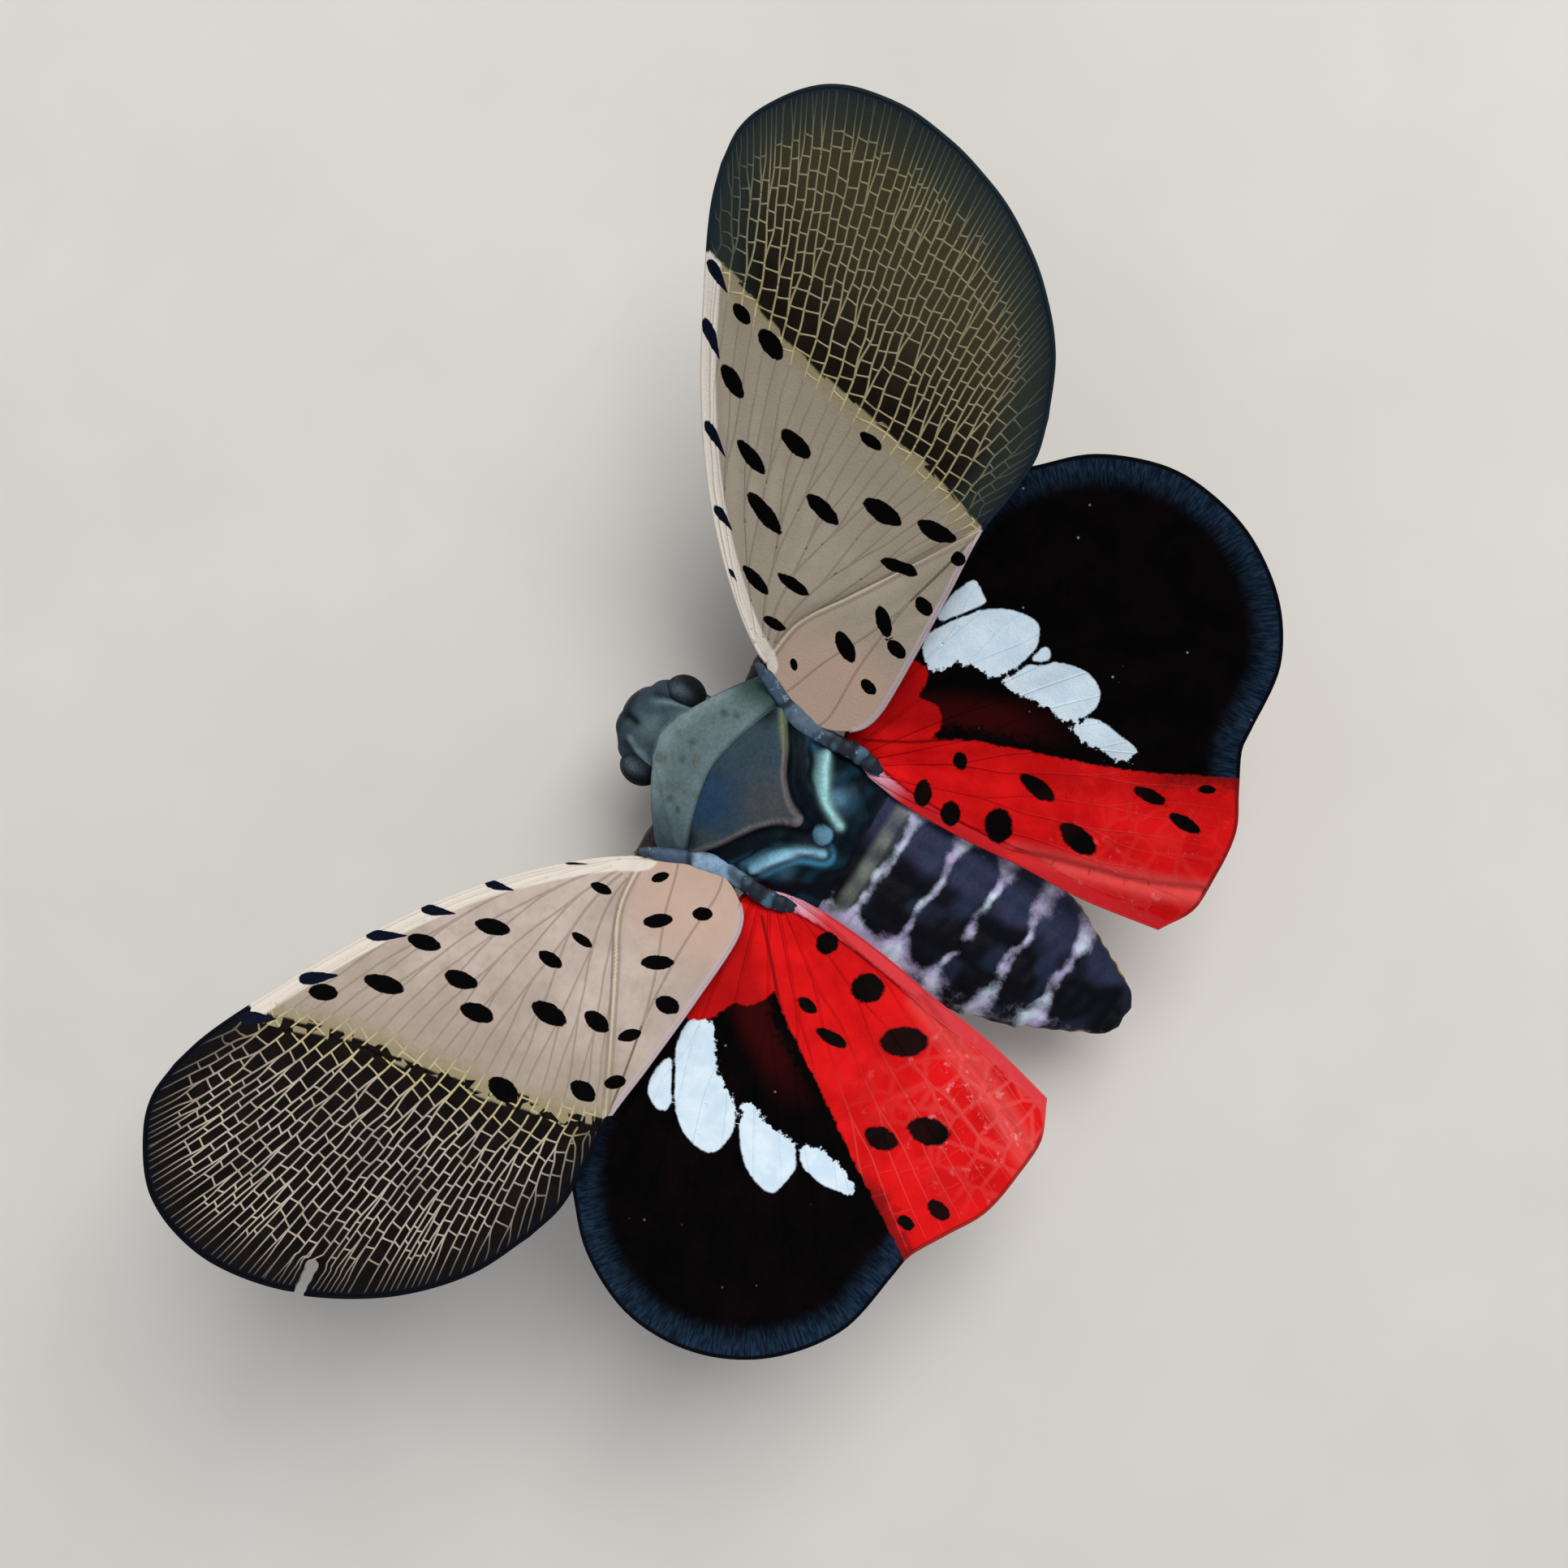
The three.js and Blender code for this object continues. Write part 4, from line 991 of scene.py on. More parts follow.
def parted(s, t):
    """A grid's places with two close columns bent to the tear's line, and which of its faces stay.

    Each row's t is shifted by how far the line is from the column, times e to the minus square of
    the distance in t over 0.06."""
    place = lambda t: coons(fore_front, fore_rear, fore_base, fore_rim, s, t)
    aside, share = beside_tear(place(t))
    crossing = np.array([np.interp(0, row[::sign], steps[::sign]) for row, steps, sign in
                         zip(aside, t, np.where(aside[:, -1] > aside[:, 0], 1, -1))])
    near = share[np.arange(len(s)), np.abs(aside).argmin(axis=1)] < 2.5
    crossing = np.where(near, crossing, crossing[near][0])
    cut = int(np.abs(t[-1] - crossing[-1]).argmin())
    step, apart = t[0, 1], t - t[0, cut]
    shift = crossing[:, None] - t[0, cut] - 0.02 * step - np.where(apart > 0, 0.96 * step, 0)
    places = place(t + shift * np.exp(-(apart / 0.06) ** 2))
    aside, share = beside_tear(places)
    keep = np.ones((t.shape[0] - 1, t.shape[1] - 1), bool)
    keep[:, cut] = share[1:, cut] > 0.97
    return places, keep, cut


def fore_values(places, side_name):
    """What the wing's finish goes by, in millimetres: depths inside spots and net, and ways from edges."""
    rim = on_outline(np.linspace(net_margin_end, net_margin_start, 90))
    middle = rim.mean(axis=0)
    beyond = rim + 1.2 * (rim - middle) / np.linalg.norm(rim - middle, axis=1, keepdims=True)
    net_loop = np.concatenate([tan_edge(np.linspace(0, 1, 50)), beyond, [COSTAL_END]])
    return {
        "net": depth_inside(places, net_loop),
        "spot": nearest_oval(places, FORE_SPOTS[side_name]),
        "bar": nearest_oval(places, COSTAL_BARS[side_name]),
        "out": path_distance(places, tan_edge(np.linspace(0, 1, 50)))[0],
        "edge": path_distance(places, fore_outline)[0],
        "coast": path_distance(places, fore_front(np.linspace(0, 0.9, 60)))[0],
        "inner": path_distance(places, fore_rear(np.linspace(0.02, 1, 60)))[0],
        "crease": path_distance(places, fore_suture(np.linspace(0, 1, 40)))[0],
        "far": np.hypot(places[:, 0], places[:, 1] - 2.2),
    }


# Six veins leave the root and fork four times on the way to the rim: the spans they fork in and
# how long a fork takes to open, with 0 the root, 1 the end of the tan part and 2 the rim.
FORE_VEINS = 6
FORE_FORKS = ((0.2, 0.36), (0.42, 0.66), (1.0, 1.26), (1.45, 2.15))
FORK_LENGTH = (0.36, 0.3, 0.22, 0.2)
# Where along the rim the veins end, by where they cross the end of the tan part.
REAR_CROWDING = 1.25  # 1 would space them evenly; above 1 they stand closer towards the rear
RIM_SHARE = ((0, 0.06, 0.14, 0.34, 0.52, 0.7, 0.86, 1), (0, 0.13, 0.2, 0.315, 0.45, 0.58, 0.73, 1))
# Turns of the veins, in degrees from straight out: across the end of the tan part, and along the rim.
VEIN_TURN_INSIDE = ((0, 0.1, 0.5, 0.7, 1), (-24, -16, -13, -9, -2))
VEIN_TURN_AT_RIM = ((0, 0.2, 0.3, 0.36, 0.45, 0.6, 0.8, 1), (-28, -31, -25, -18, -6, 6, 16, 28))


def heading(share, table):
    """Unit direction at a share of a row of turns."""
    turn = np.radians(np.interp(share, *table))
    return np.stack([np.cos(turn), np.sin(turn)], axis=-1)


def corner(path, share):
    """An edge of no length: the same place of the path for every share."""
    return lambda x: path(share) + 0 * np.asarray(x)[..., None]


def net_place(q, f):
    """Places at q along the veins, 0 root, 1 end of the tan part, 2 rim, and f across them.

    f is first brought to 1 - (1 - f)^REAR_CROWDING. The tan part is a blend between its four edges.
    Beyond it each vein is a Hermite arc, which leaves and arrives along the rows of turns. A place
    is the mean of three along its vein, weighted 1, 2 and 1, and past the tan part it sways a little."""
    f = 1 - (1 - f) ** REAR_CROWDING

    def exact(q):
        inner = coons(lambda x: fore_front(x * tan_front_share), fore_suture, corner(fore_suture, 0.0),
                      tan_edge, np.clip(q, 0, 1), f)
        x = np.clip(q - 1, 0, 1)[..., None]
        m = np.interp(f, *RIM_SHARE)
        start, end = tan_edge(f), on_outline(net_margin_start + (net_margin_end - net_margin_start) * m)
        chord = np.linalg.norm(end - start, axis=-1, keepdims=True)
        outer = (1 - x) ** 2 * (1 + 2 * x) * start + x * x * (3 - 2 * x) * end
        outer = outer + chord * (x * (1 - x) ** 2 * heading(f, VEIN_TURN_INSIDE)
                                 - x * x * (1 - x) * heading(m, VEIN_TURN_AT_RIM))
        return np.where(q[..., None] > 1, outer, inner)

    near = np.clip(np.minimum(q, 2 - q), 0, 0.08)
    flat = (exact(q - near) + 2 * exact(q) + exact(q + near)) / 4
    sway = np.stack([unevenness(flat, 1.3, seed) for seed in (61, 62)], axis=-1)
    return flat + np.interp(q, [0.9, 1.2, 2], [0.01, 0.028, 0])[..., None] * sway


def vein_tree(count, forks, seed):
    """Where the veins of each rank lie, f, and where they fork, q; each rank has twice the last one's."""
    draw = np.random.default_rng(seed)
    counts = [count * 2**rank for rank in range(len(forks) + 1)]
    centre = [(np.arange(n) + 0.5 + draw.uniform(-0.1, 0.1, n)) / n for n in counts]
    return centre, [draw.uniform(*span, n) for span, n in zip(forks, counts)]


def vein_share(tree, rank, number, q):
    """The f of a vein at q: its oldest ancestor's, and an eased step to each later one past its fork."""
    centre, fork = tree
    f = centre[0][number >> rank]
    for n in range(1, rank + 1):
        own, parent = number >> (rank - n), number >> (rank - n + 1)
        begin = fork[n - 1][parent]
        f = f + ease(q, begin, begin + FORK_LENGTH[n - 1]) * (centre[n][own] - centre[n - 1][parent])
    return f


RIM_REACH = 1.985
NET_START = 0.97
CELL_LENGTH = 0.6
OPEN_RIM = 1.0  # no cross-veins in this outermost part, in millimetres


def rank_paths(tree, begin, place, share_of, steps=40):
    """Places and q along the veins of all ranks, each from its parent's fork to its own or to the rim.

    Forks that would lie beyond the rim are left out."""
    centre, fork = tree
    paths, reach = [], []
    for rank in range(len(centre)):
        number = np.arange(len(centre[rank]))[:, None]
        start = begin if rank == 0 else fork[rank - 1][number >> 1]
        end = np.full(number.shape, RIM_REACH)
        if rank < len(fork):
            end = np.minimum(fork[rank][number], RIM_REACH)
        grows = (end > start + 0.02)[:, 0]
        q = (start + (end - start) * np.linspace(0, 1, steps))[grows]
        paths.append(place(q, share_of(rank, number[grows], q)))
        reach.append(q)
    return np.concatenate(paths), np.concatenate(reach)


def cross_veins(tree, share_of, place, start, cell, open_rim, seed):
    """Short veins square across the gaps, about a cell's length apart, each gap's row starting anywhere."""
    draw = np.random.default_rng(seed)
    rank = len(tree[0]) - 1
    gap = np.arange(len(tree[0][rank]) - 1)[:, None]
    q = np.broadcast_to(np.linspace(start, RIM_REACH, 160), (len(gap), 160))
    low, high = place(q, share_of(rank, gap, q)), place(q, share_of(rank, gap + 1, q))
    middle, width = (low + high) / 2, np.linalg.norm(high - low, axis=-1)
    travel = np.cumsum(np.linalg.norm(np.diff(middle, axis=1, prepend=middle[:, :1]), axis=-1), axis=1)
    rows = int(travel.max() / cell) + 2
    number = np.arange(rows) + draw.uniform(0, 1, gap.shape)
    reach = (number + draw.uniform(-0.2, 0.2, (len(gap), rows))) * cell
    at = np.stack([np.interp(r, t, row) for r, t, row in zip(reach, travel, q)])
    wide = np.stack([np.interp(r, t, w) for r, t, w in zip(reach, travel, width)])
    wanted = (reach < travel[:, -1:] - open_rim) & (wide > 0.16)
    gap = np.broadcast_to(gap, at.shape)[wanted][:, None]
    at = at[wanted][:, None]
    low, high = place(at, share_of(rank, gap, at)), place(at, share_of(rank, gap + 1, at))
    along = (place(at + 0.01, share_of(rank, gap, at + 0.01)) - low) / 0.01
    skew = np.sum((high - low) * along, axis=-1) / np.sum(along**2, axis=-1)
    at = at - (skew + draw.uniform(-0.012, 0.012, at.shape)) * np.linspace(-0.5, 0.5, 4)
    low, high = share_of(rank, gap, at), share_of(rank, gap + 1, at)
    return place(at, low + (high - low) * np.linspace(0, 1, 4))


def lifted(paths, height):
    """Flat paths with the wing's own height under them."""
    flat = paths.reshape(-1, 2)
    return np.concatenate([flat, height(flat)[:, None]], axis=-1).reshape(*paths.shape[:2], 3)


def fore_vein_mesh(side_name, seed):
    """The forking veins, one by the front, the net's cross-veins, the clavus's, the suture and the edge."""
    tree = vein_tree(FORE_VEINS, FORE_FORKS, seed)
    share_of = lambda rank, number, q: vein_share(tree, rank, number, q)
    paths, reach = rank_paths(tree, np.full((FORE_VEINS, 1), 0.1), net_place, share_of)
    width = np.interp(reach, [0, 0.4, 0.95, 1.05, 1.7, 2], [0.055, 0.045, 0.04, 0.042, 0.036, 0.028])
    if side_name == "left":
        paths = torn(paths, np.sign(beside_tear(paths[:, -1:])[0]))
    parts = [tubes(lifted(paths, fore_height), width, 0.45 * width + 0.026)]
    q = np.linspace(0.06, 0.97, 60)[None]
    parts.append(tubes(lifted(net_place(q, 0 * q + 0.03), fore_height), 0.06, 0.07))
    net = cross_veins(tree, share_of, net_place, NET_START, CELL_LENGTH, OPEN_RIM, seed + 1)
    if side_name == "left":
        aside, share = beside_tear(net)
        net = torn(net[(share[:, 0] > 1) | (aside[:, 0] * aside[:, -1] > 0)])
    parts.append(tubes(lifted(net, fore_height), np.array([0.05, 0.034, 0.034, 0.05]), 0.044))
    share = np.linspace(0, 1, 70)
    veins = [coons(fore_suture, lambda x: fore_rear(x * CLAVUS_REAR), fore_base, corner(fore_suture, 1.0),
                   share, np.interp(share, [0, 0.62, 1], [start, 0.5, 0.5])) for start in (0.3, 0.72)]
    parts.append(tubes(lifted(np.array(veins), fore_height), 0.045, 0.055))
    parts.append(tubes(lifted(fore_suture(share)[None], fore_height), 0.06, 0.05))
    split = path_distance(TEAR[:1], fore_outline)[1][0]
    whole = path_distance(fore_outline[-1:], fore_outline)[1][0]
    gap = 0.02 if side_name == "left" else -0.02
    spans = ((0, split - gap), (split + gap, whole))
    edges = np.array([on_outline(np.linspace(*span, 240)) for span in spans])
    edges = torn(edges) if side_name == "left" else edges
    parts.append(tubes(lifted(edges, fore_height), 0.065, 0.06))
    return joined(*parts)


def new_group(name, inputs, outputs):
    """A node group with numbers for inputs: its tree, its wiring and its inputs' signals."""
    tree = bpy.data.node_groups.new(name, "ShaderNodeTree")
    for label in inputs:
        tree.interface.new_socket(label, in_out="INPUT", socket_type="NodeSocketFloat")
    for label, kind in outputs.items():
        tree.interface.new_socket(label, in_out="OUTPUT", socket_type="NodeSocket" + kind)
    wire = Wiring(tree)
    return tree, wire, [wire.add("NodeGroupInput", output=label) for label in inputs]


def fore_markings():
    """Node group: the forewing's colour, and where its net is, from the values stored on the mesh.

    Vein is 1 on a vein and 0 on the membrane; the second input paints light and shade for a wing turned from
    the lamp: painted shade darkens its tan, and painted light through the cells lightens and blurs the net
    towards its rim."""
    outputs = {"Colour": "Color", "Net": "Float"}
    tree, wire, (vein, painted_light) = new_group("forewing_markings", ("Vein", "Painted_light"), outputs)
    at = wire.place()
    out, edge, crease, depth = (wire.value(label) for label in ("out", "edge", "crease", "net"))
    ragged = wire.noise(at, 5.0, 5.0) - 0.5
    blot = wire.cells(at, 2.6, output="Color") - 0.5
    mottle = wire.step(wire.noise(at, 0.55, 5.0), 0.3, 0.7)
    tan = wire.coats(
        wire.mix(mottle, paint(176, 160, 150), paint(198, 182, 172)),
        (wire.step(wire.noise(at, 3.2, 6.0), 0.45, 0.75, 0.0, 0.3), paint(152, 136, 118)),
        # painted shade: the tan of a wing turned from the lamp, darker and greener
        (painted_light * 0.85, paint(150, 143, 122)),
        (wire.step(wire.value("far"), 1.3, 3.6, 0.7, 0.0), paint(196, 164, 146)),
        (vein * 0.45, paint(132, 118, 108)),
        (wire.step(abs(crease - 0.1), 0.02, 0.07, 0.55, 0.0), paint(128, 112, 90)),
        (wire.step(crease, 0.03, 0.06, 0.7, 0.0), paint(216, 204, 186)),
        (wire.step(out, 0.5, 4.0, 0.55, 0.0), paint(148, 136, 118)),
        (wire.step(depth + ragged * 1.2, -0.8, -0.05, 0.0, 0.85),
         wire.mix(vein, paint(146, 134, 102), paint(200, 190, 146))),
        (wire.step(wire.value("coast"), 0.4, 0.5, 0.9, 0.0), paint(228, 219, 208)),
        (wire.step(wire.value("inner"), 0.1, 0.17, 0.75, 0.0), paint(188, 172, 180)))

    net = wire.step(depth + blot * wire.step(painted_light, 0.0, 0.75, 0.8, 0.2), -0.05, 0.05)
    # Painted light through the net's cells, out from the tan and near the rim, and a lighter rim, by the
    # second input.
    outwards = painted_light * wire.step(out, 0.3, 4.5, 0.1, 1.3)
    painted_rim_light = painted_light * wire.step(edge, 1.9, 0.4, 0.0, 1.3)
    rim = wire.mix(painted_light, paint(8, 10, 18), paint(34, 46, 52))
    cell = wire.coats(
        wire.mix(wire.step(wire.noise(at, 1.3, 4.0), 0.35, 0.7), paint(10, 6, 6), paint(22, 15, 12)),
        (outwards, paint(64, 59, 41)), (painted_rim_light, paint(42, 50, 45)), (wire.step(edge, 0.45, 0.08), rim))
    smudge = wire.noise(at, 1.3, 3.0) - abs(depth - 0.15) * 0.9
    silk = wire.mix(
        wire.step(wire.noise(at, 0.6, 3.0), 0.35, 0.65), paint(158, 147, 134), paint(190, 179, 161))
    # The threads, toned by the painted light of the second input.
    thread = wire.coats(
        wire.mix(wire.step(depth, 0.2, 1.3), paint(192, 181, 134), silk),
        (painted_light, paint(158, 149, 110)), (outwards, paint(138, 131, 101)), (painted_rim_light, paint(92, 99, 88)),
        (wire.step(edge, 0.1, 1.4, 0.85, 0.0), paint(60, 57, 58)), (wire.step(edge, 0.2, 0.06), rim),
        (wire.step(smudge, 0.44, 0.5) - painted_light, paint(16, 9, 6)))

    colour = wire.mix(net, tan, wire.mix(vein, cell, thread))
    marks = (("spot", 1.85, 1.0, paint(3, 2, 2)), ("bar", 1.9, 0.35, paint(10, 16, 34)))
    for label, power, tail, tint in marks:
        x, y, inside = wire.parts(label)
        size = abs(x) ** power + abs(y / wire.step(x, -1.0, 1.0, tail, 1.0)) ** power
        mark = wire.step(size + ragged * 0.6, 0.92, 1.08, 1.0, 0.0)
        colour = wire.mix(mark * wire.step(inside, -0.06, -0.04), colour, tint)
    wire.give(Colour=colour, Net=net)
    return tree


def wing_material(name, group, inputs, mask, weight, roughness):
    """A wing's finish: its markings' colour, and a roughness by the grain plus weight times the mask."""
    material, wire = new_material(name)
    grain = wire.noise(wire.place(), 12.0, 5.0)
    marks = wire.group(group, inputs)
    wire.surface(Base_Color=marks["Colour"], Roughness=wire.step(grain + marks[mask] * weight, *roughness),
                 Specular_IOR_Level=0.04, bump=grain, bump_size=0.02)
    return material


def new_wing(wing, name, meshes, pose, values, group, inputs, *finish):
    """One wing's membrane and its veins, two pieces whose finish differs in the group's Vein, 0 or 1."""
    for vein, (points, faces) in enumerate(meshes):
        part = ("_membrane_", "_veins_")[vein]
        material = wing_material(wing + part + name, group, {"Vein": vein, **inputs}, *finish)
        label = wing + ("_", "_veins_")[vein] + name
        new_piece(label, placed(wing_pose(points, *pose), SIDES[name]), faces, material,
                  [] if vein else [label], values(points[:, :2], name))


def build_forewings():
    rows, columns = 200, 150
    s, t = np.meshgrid(np.linspace(0, 1, rows), np.linspace(0, 1, columns), indexing="ij")
    flat = coons(fore_front, fore_rear, fore_base, fore_rim, s, t)
    group = fore_markings()
    for name, side in SIDES.items():
        places, keep = flat, True
        if name == "left":
            places, keep, cut = parted(s, t)
            places = torn(places, np.where(np.arange(columns) > cut, -1, 1))
        sheet = leaf(places, fore_height(places.reshape(-1, 2)).reshape(rows, columns), MEMBRANE, keep)
        meshes = (sheet, fore_vein_mesh(name, seed=3 + side))
        new_wing("forewing", name, meshes, (FORE_HINGE, FORE_RAISED, 0.0), fore_values,
                 group, {"Painted_light": NET_PAINTED_LIGHT[name]}, "Net", 1.0, (0.3, 1.6, 0.8, 0.6))


build_forewings()


# Hindwings
# Thin pleated fans: scarlet at the root and along the rear with black spots, black in the outer
# lobe with white patches, and a narrow blue-grey fringe. A fold lies along the inner edge.
HIND_HINGE = np.array([3.0, 5.0, -0.4])
HIND_RAISED, HIND_TWIST = np.radians(24), np.radians(5)
HIND_FRONT = [(-0.35, -0.5), (2.6, -1.0), (6.5, -1.25), (9.6, -1.0), (11.2, -0.25)]
HIND_RIM = [(11.2, -0.25), (12.6, 1.15), (13.55, 3.2), (13.55, 5.4), (12.6, 7.5), (10.6, 9.2), (8.3, 9.72),
            (7.6, 9.86), (6.3, 10.6), (5.1, 11.3), (3.5, 11.62), (2.2, 11.72), (0.9, 11.25)]
HIND_INNER = [(-0.6, 0.6), (-0.55, 2.4), (-0.35, 4.5), (0.0, 6.6), (0.3, 8.8), (0.9, 11.25)]
HIND_BASE = [(-0.35, -0.5), (-0.55, 0.0), (-0.6, 0.6)]
FOLD_LINE = [(0.2, 6.2), (1.1, 8.2), (2.0, 10.2), (2.85, 11.6)]
# The border between red and black, from root to rim; all in front of it is black, but for the two
# lobes of red at the root.
BLACK_BORDER = {
    "left": [(0.5, 0.3), (1.7, 1.4), (2.8, 2.4), (3.5, 3.4), (4.5, 4.9), (5.8, 6.8), (6.7, 8.2),
             (7.75, 9.85)],
    "right": [(0.3, 0.0), (1.2, 1.3), (2.4, 2.7), (3.2, 4.2), (4.1, 6.1), (5.0, 7.8), (6.0, 9.3),
              (6.8, 10.5)],
}
AROUND_THE_TIP = [(10.6, 12.0), (16.0, 8.0), (16.0, -2.0), (8.0, -4.0), (-1.0, -3.0)]  # beyond the rim
RED_ROOT = {
    "left": [(-0.6, 0.5), (-0.4, -0.9), (1.1, -1.0), (3.7, -1.2), (4.5, -0.6), (4.7, 0.1), (4.2, 0.7),
             (3.5, 1.0), (3.3, 1.5), (2.5, 1.9), (1.6, 1.5)],
    "right": [(-0.6, 0.5), (-0.4, -0.9), (0.9, -1.0), (3.0, -1.1), (3.6, -0.4), (3.75, 0.3), (3.6, 0.6),
              (2.75, 0.8), (2.9, 1.4), (2.5, 1.8), (1.7, 1.75)],
}
WHITE_PATCHES = {
    "left": [
        [(6.1, 0.2), (6.7, 0.0), (7.3, 0.1), (7.6, 0.4), (7.7, 0.8), (7.5, 1.0), (6.8, 0.75)],
        [(4.7, 0.1), (5.4, 0.1), (6.1, 0.35), (7.3, 1.1), (7.9, 1.8), (8.1, 2.6), (8.0, 2.95), (7.3, 3.15),
         (6.7, 3.0), (6.2, 2.6), (5.9, 2.1), (5.4, 1.5), (4.8, 1.1), (4.4, 0.7)],
        [(6.1, 2.9), (7.1, 3.4), (7.7, 3.9), (8.1, 4.6), (8.1, 5.2), (7.5, 5.4), (7.0, 5.45), (6.5, 5.1),
         (6.3, 4.7), (6.3, 4.0), (6.0, 3.2)],
        [(6.3, 5.3), (6.8, 5.5), (7.0, 6.1), (7.0, 6.8), (6.8, 7.4), (6.6, 7.4), (6.4, 7.0), (6.2, 6.4),
         (6.1, 5.9)],
    ],
    "right": [
        [(5.4, -0.1), (6.2, -0.15), (6.8, 0.0), (7.2, 0.2), (7.0, 0.6), (6.7, 0.9), (6.1, 0.65),
         (5.6, 0.35)],
        [(4.5, -0.1), (5.5, 0.15), (6.2, 0.65), (6.8, 1.3), (7.1, 1.9), (7.2, 2.6), (6.6, 2.95), (6.0, 2.9),
         (5.6, 2.8), (4.8, 2.4), (4.8, 1.8), (4.5, 1.2), (3.8, 0.7), (3.9, 0.3)],
        [(5.0, 2.6), (5.7, 2.95), (6.3, 3.4), (6.7, 4.2), (6.75, 4.8), (6.5, 5.35), (6.0, 5.55), (5.4, 5.45),
         (5.0, 5.0), (5.0, 4.3), (4.9, 3.8), (4.8, 3.2)],
        [(5.0, 5.2), (5.5, 5.5), (5.7, 6.0), (5.7, 6.6), (5.6, 7.3), (5.3, 7.4), (4.9, 7.1), (4.9, 6.5),
         (4.8, 5.9), (4.85, 5.4)],
        [(6.1, 3.0), (6.4, 3.02), (6.75, 3.25), (6.55, 3.5), (6.2, 3.35)],
    ],
}
# Dark veins that part the white patches.
PATCH_VEINS = {
    "left": [
        [(5.2, -0.3), (5.7, 0.1), (6.3, 0.45), (7.3, 1.05), (8.2, 1.7)],
        [(5.0, 2.0), (6.1, 2.85), (6.9, 3.2), (7.9, 3.6)],
        [(5.6, 4.5), (6.5, 5.2), (7.1, 5.55), (8.2, 6.1)],
    ],
    "right": [
        [(4.2, -0.4), (4.9, -0.1), (5.6, 0.25), (6.3, 0.72), (7.3, 1.2)],
        [(4.4, 2.25), (5.2, 2.72), (5.9, 3.0), (6.2, 3.0), (7.0, 3.1)],
        [(5.9, 2.95), (6.2, 3.4), (6.7, 3.8), (7.1, 4.3)],
        [(4.6, 4.9), (5.4, 5.45), (6.0, 5.62), (6.8, 5.7)],
    ],
}
PATCH_VEIN_HALF_WIDTH = 0.055
# Painted light by side: the outer red of the left wing, which faces the lamp, is painted paler and more rose
# than the right's.
PINK_LIGHT_BY_SIDE = {"left": 0.9, "right": 0.25}
# Along this line, on the patches' inner side, their edges are ragged like powder.
RAGGED_LINE = {
    "left": [(4.6, 0.9), (5.5, 1.7), (6.0, 2.7), (6.15, 4.0), (6.2, 5.3), (6.3, 6.5), (6.6, 7.5)],
    "right": [(3.8, 0.8), (4.7, 1.8), (4.9, 2.9), (4.95, 4.2), (4.9, 5.4), (4.9, 6.5), (5.2, 7.4)],
}
# Spots: out from the hinge, back from it, length, width, and the turn of the length in degrees.
HIND_SPOTS = {
    "left": [(0.2, 2.6, 0.75, 0.74, 0), (0.8, 4.5, 1.13, 1.0, -58), (2.3, 3.1, 0.74, 0.45, 81),
             (2.8, 4.3, 1.15, 0.45, -87), (1.7, 6.4, 1.6, 1.0, -58), (4.8, 7.3, 1.15, 0.75, -79),
             (3.8, 8.5, 1.4, 0.9, -73), (5.8, 10.0, 0.84, 0.54, 81), (6.7, 9.3, 0.6, 0.44, 81)],
    "right": [(1.7, 3.0, 0.66, 0.5, -31), (0.1, 2.6, 0.85, 0.6, -31), (0.1, 3.7, 0.87, 0.66, -31),
              (0.7, 5.2, 1.25, 0.95, -32), (2.5, 5.5, 1.35, 0.6, -89), (1.9, 7.5, 1.45, 0.8, -84),
              (4.5, 8.5, 1.1, 0.5, 80), (4.4, 9.9, 1.1, 0.45, 83), (5.8, 9.8, 0.6, 0.3, 52)],
}

hind_front, hind_rim = curve(HIND_FRONT), curve(HIND_RIM)
hind_inner, hind_base = curve(HIND_INNER), curve(HIND_BASE)
hind_outline = np.concatenate([
    hind_front(np.linspace(0, 1, 80)), hind_rim(np.linspace(0, 1, 160))[1:],
    hind_inner(np.linspace(1, 0, 80))[1:]])
fold_path = curve(FOLD_LINE)(np.linspace(0, 1, 30))


def hind_height(places):
    """The hindwing's low dome and pleats that fan out from its root, with its inner edge curled up."""
    u, v = places.T
    reach, turn = np.hypot(u, v), np.degrees(np.arctan2(v, u + 0.3))
    share = np.clip((turn + 8) / 98, 0, 1)
    dome = 0.25 * np.sin(np.pi * share) * np.clip(reach / 12, 0, 1)
    curl = 0.4 * ease(turn, 62, 90) * np.clip(reach / 2, 0, 1)
    pleats = 0.09 * np.cos(np.radians(15 * turn)) + 0.035 * np.cos(np.radians(37 * turn))
    pleats = np.clip(reach / 12, 0, 1) * pleats
    fold = 0.22 * bump_at(path_distance(places, fold_path)[0], 0.16)
    return dome + curl + pleats - fold + 0.04 * unevenness(places, 4.0, 41)


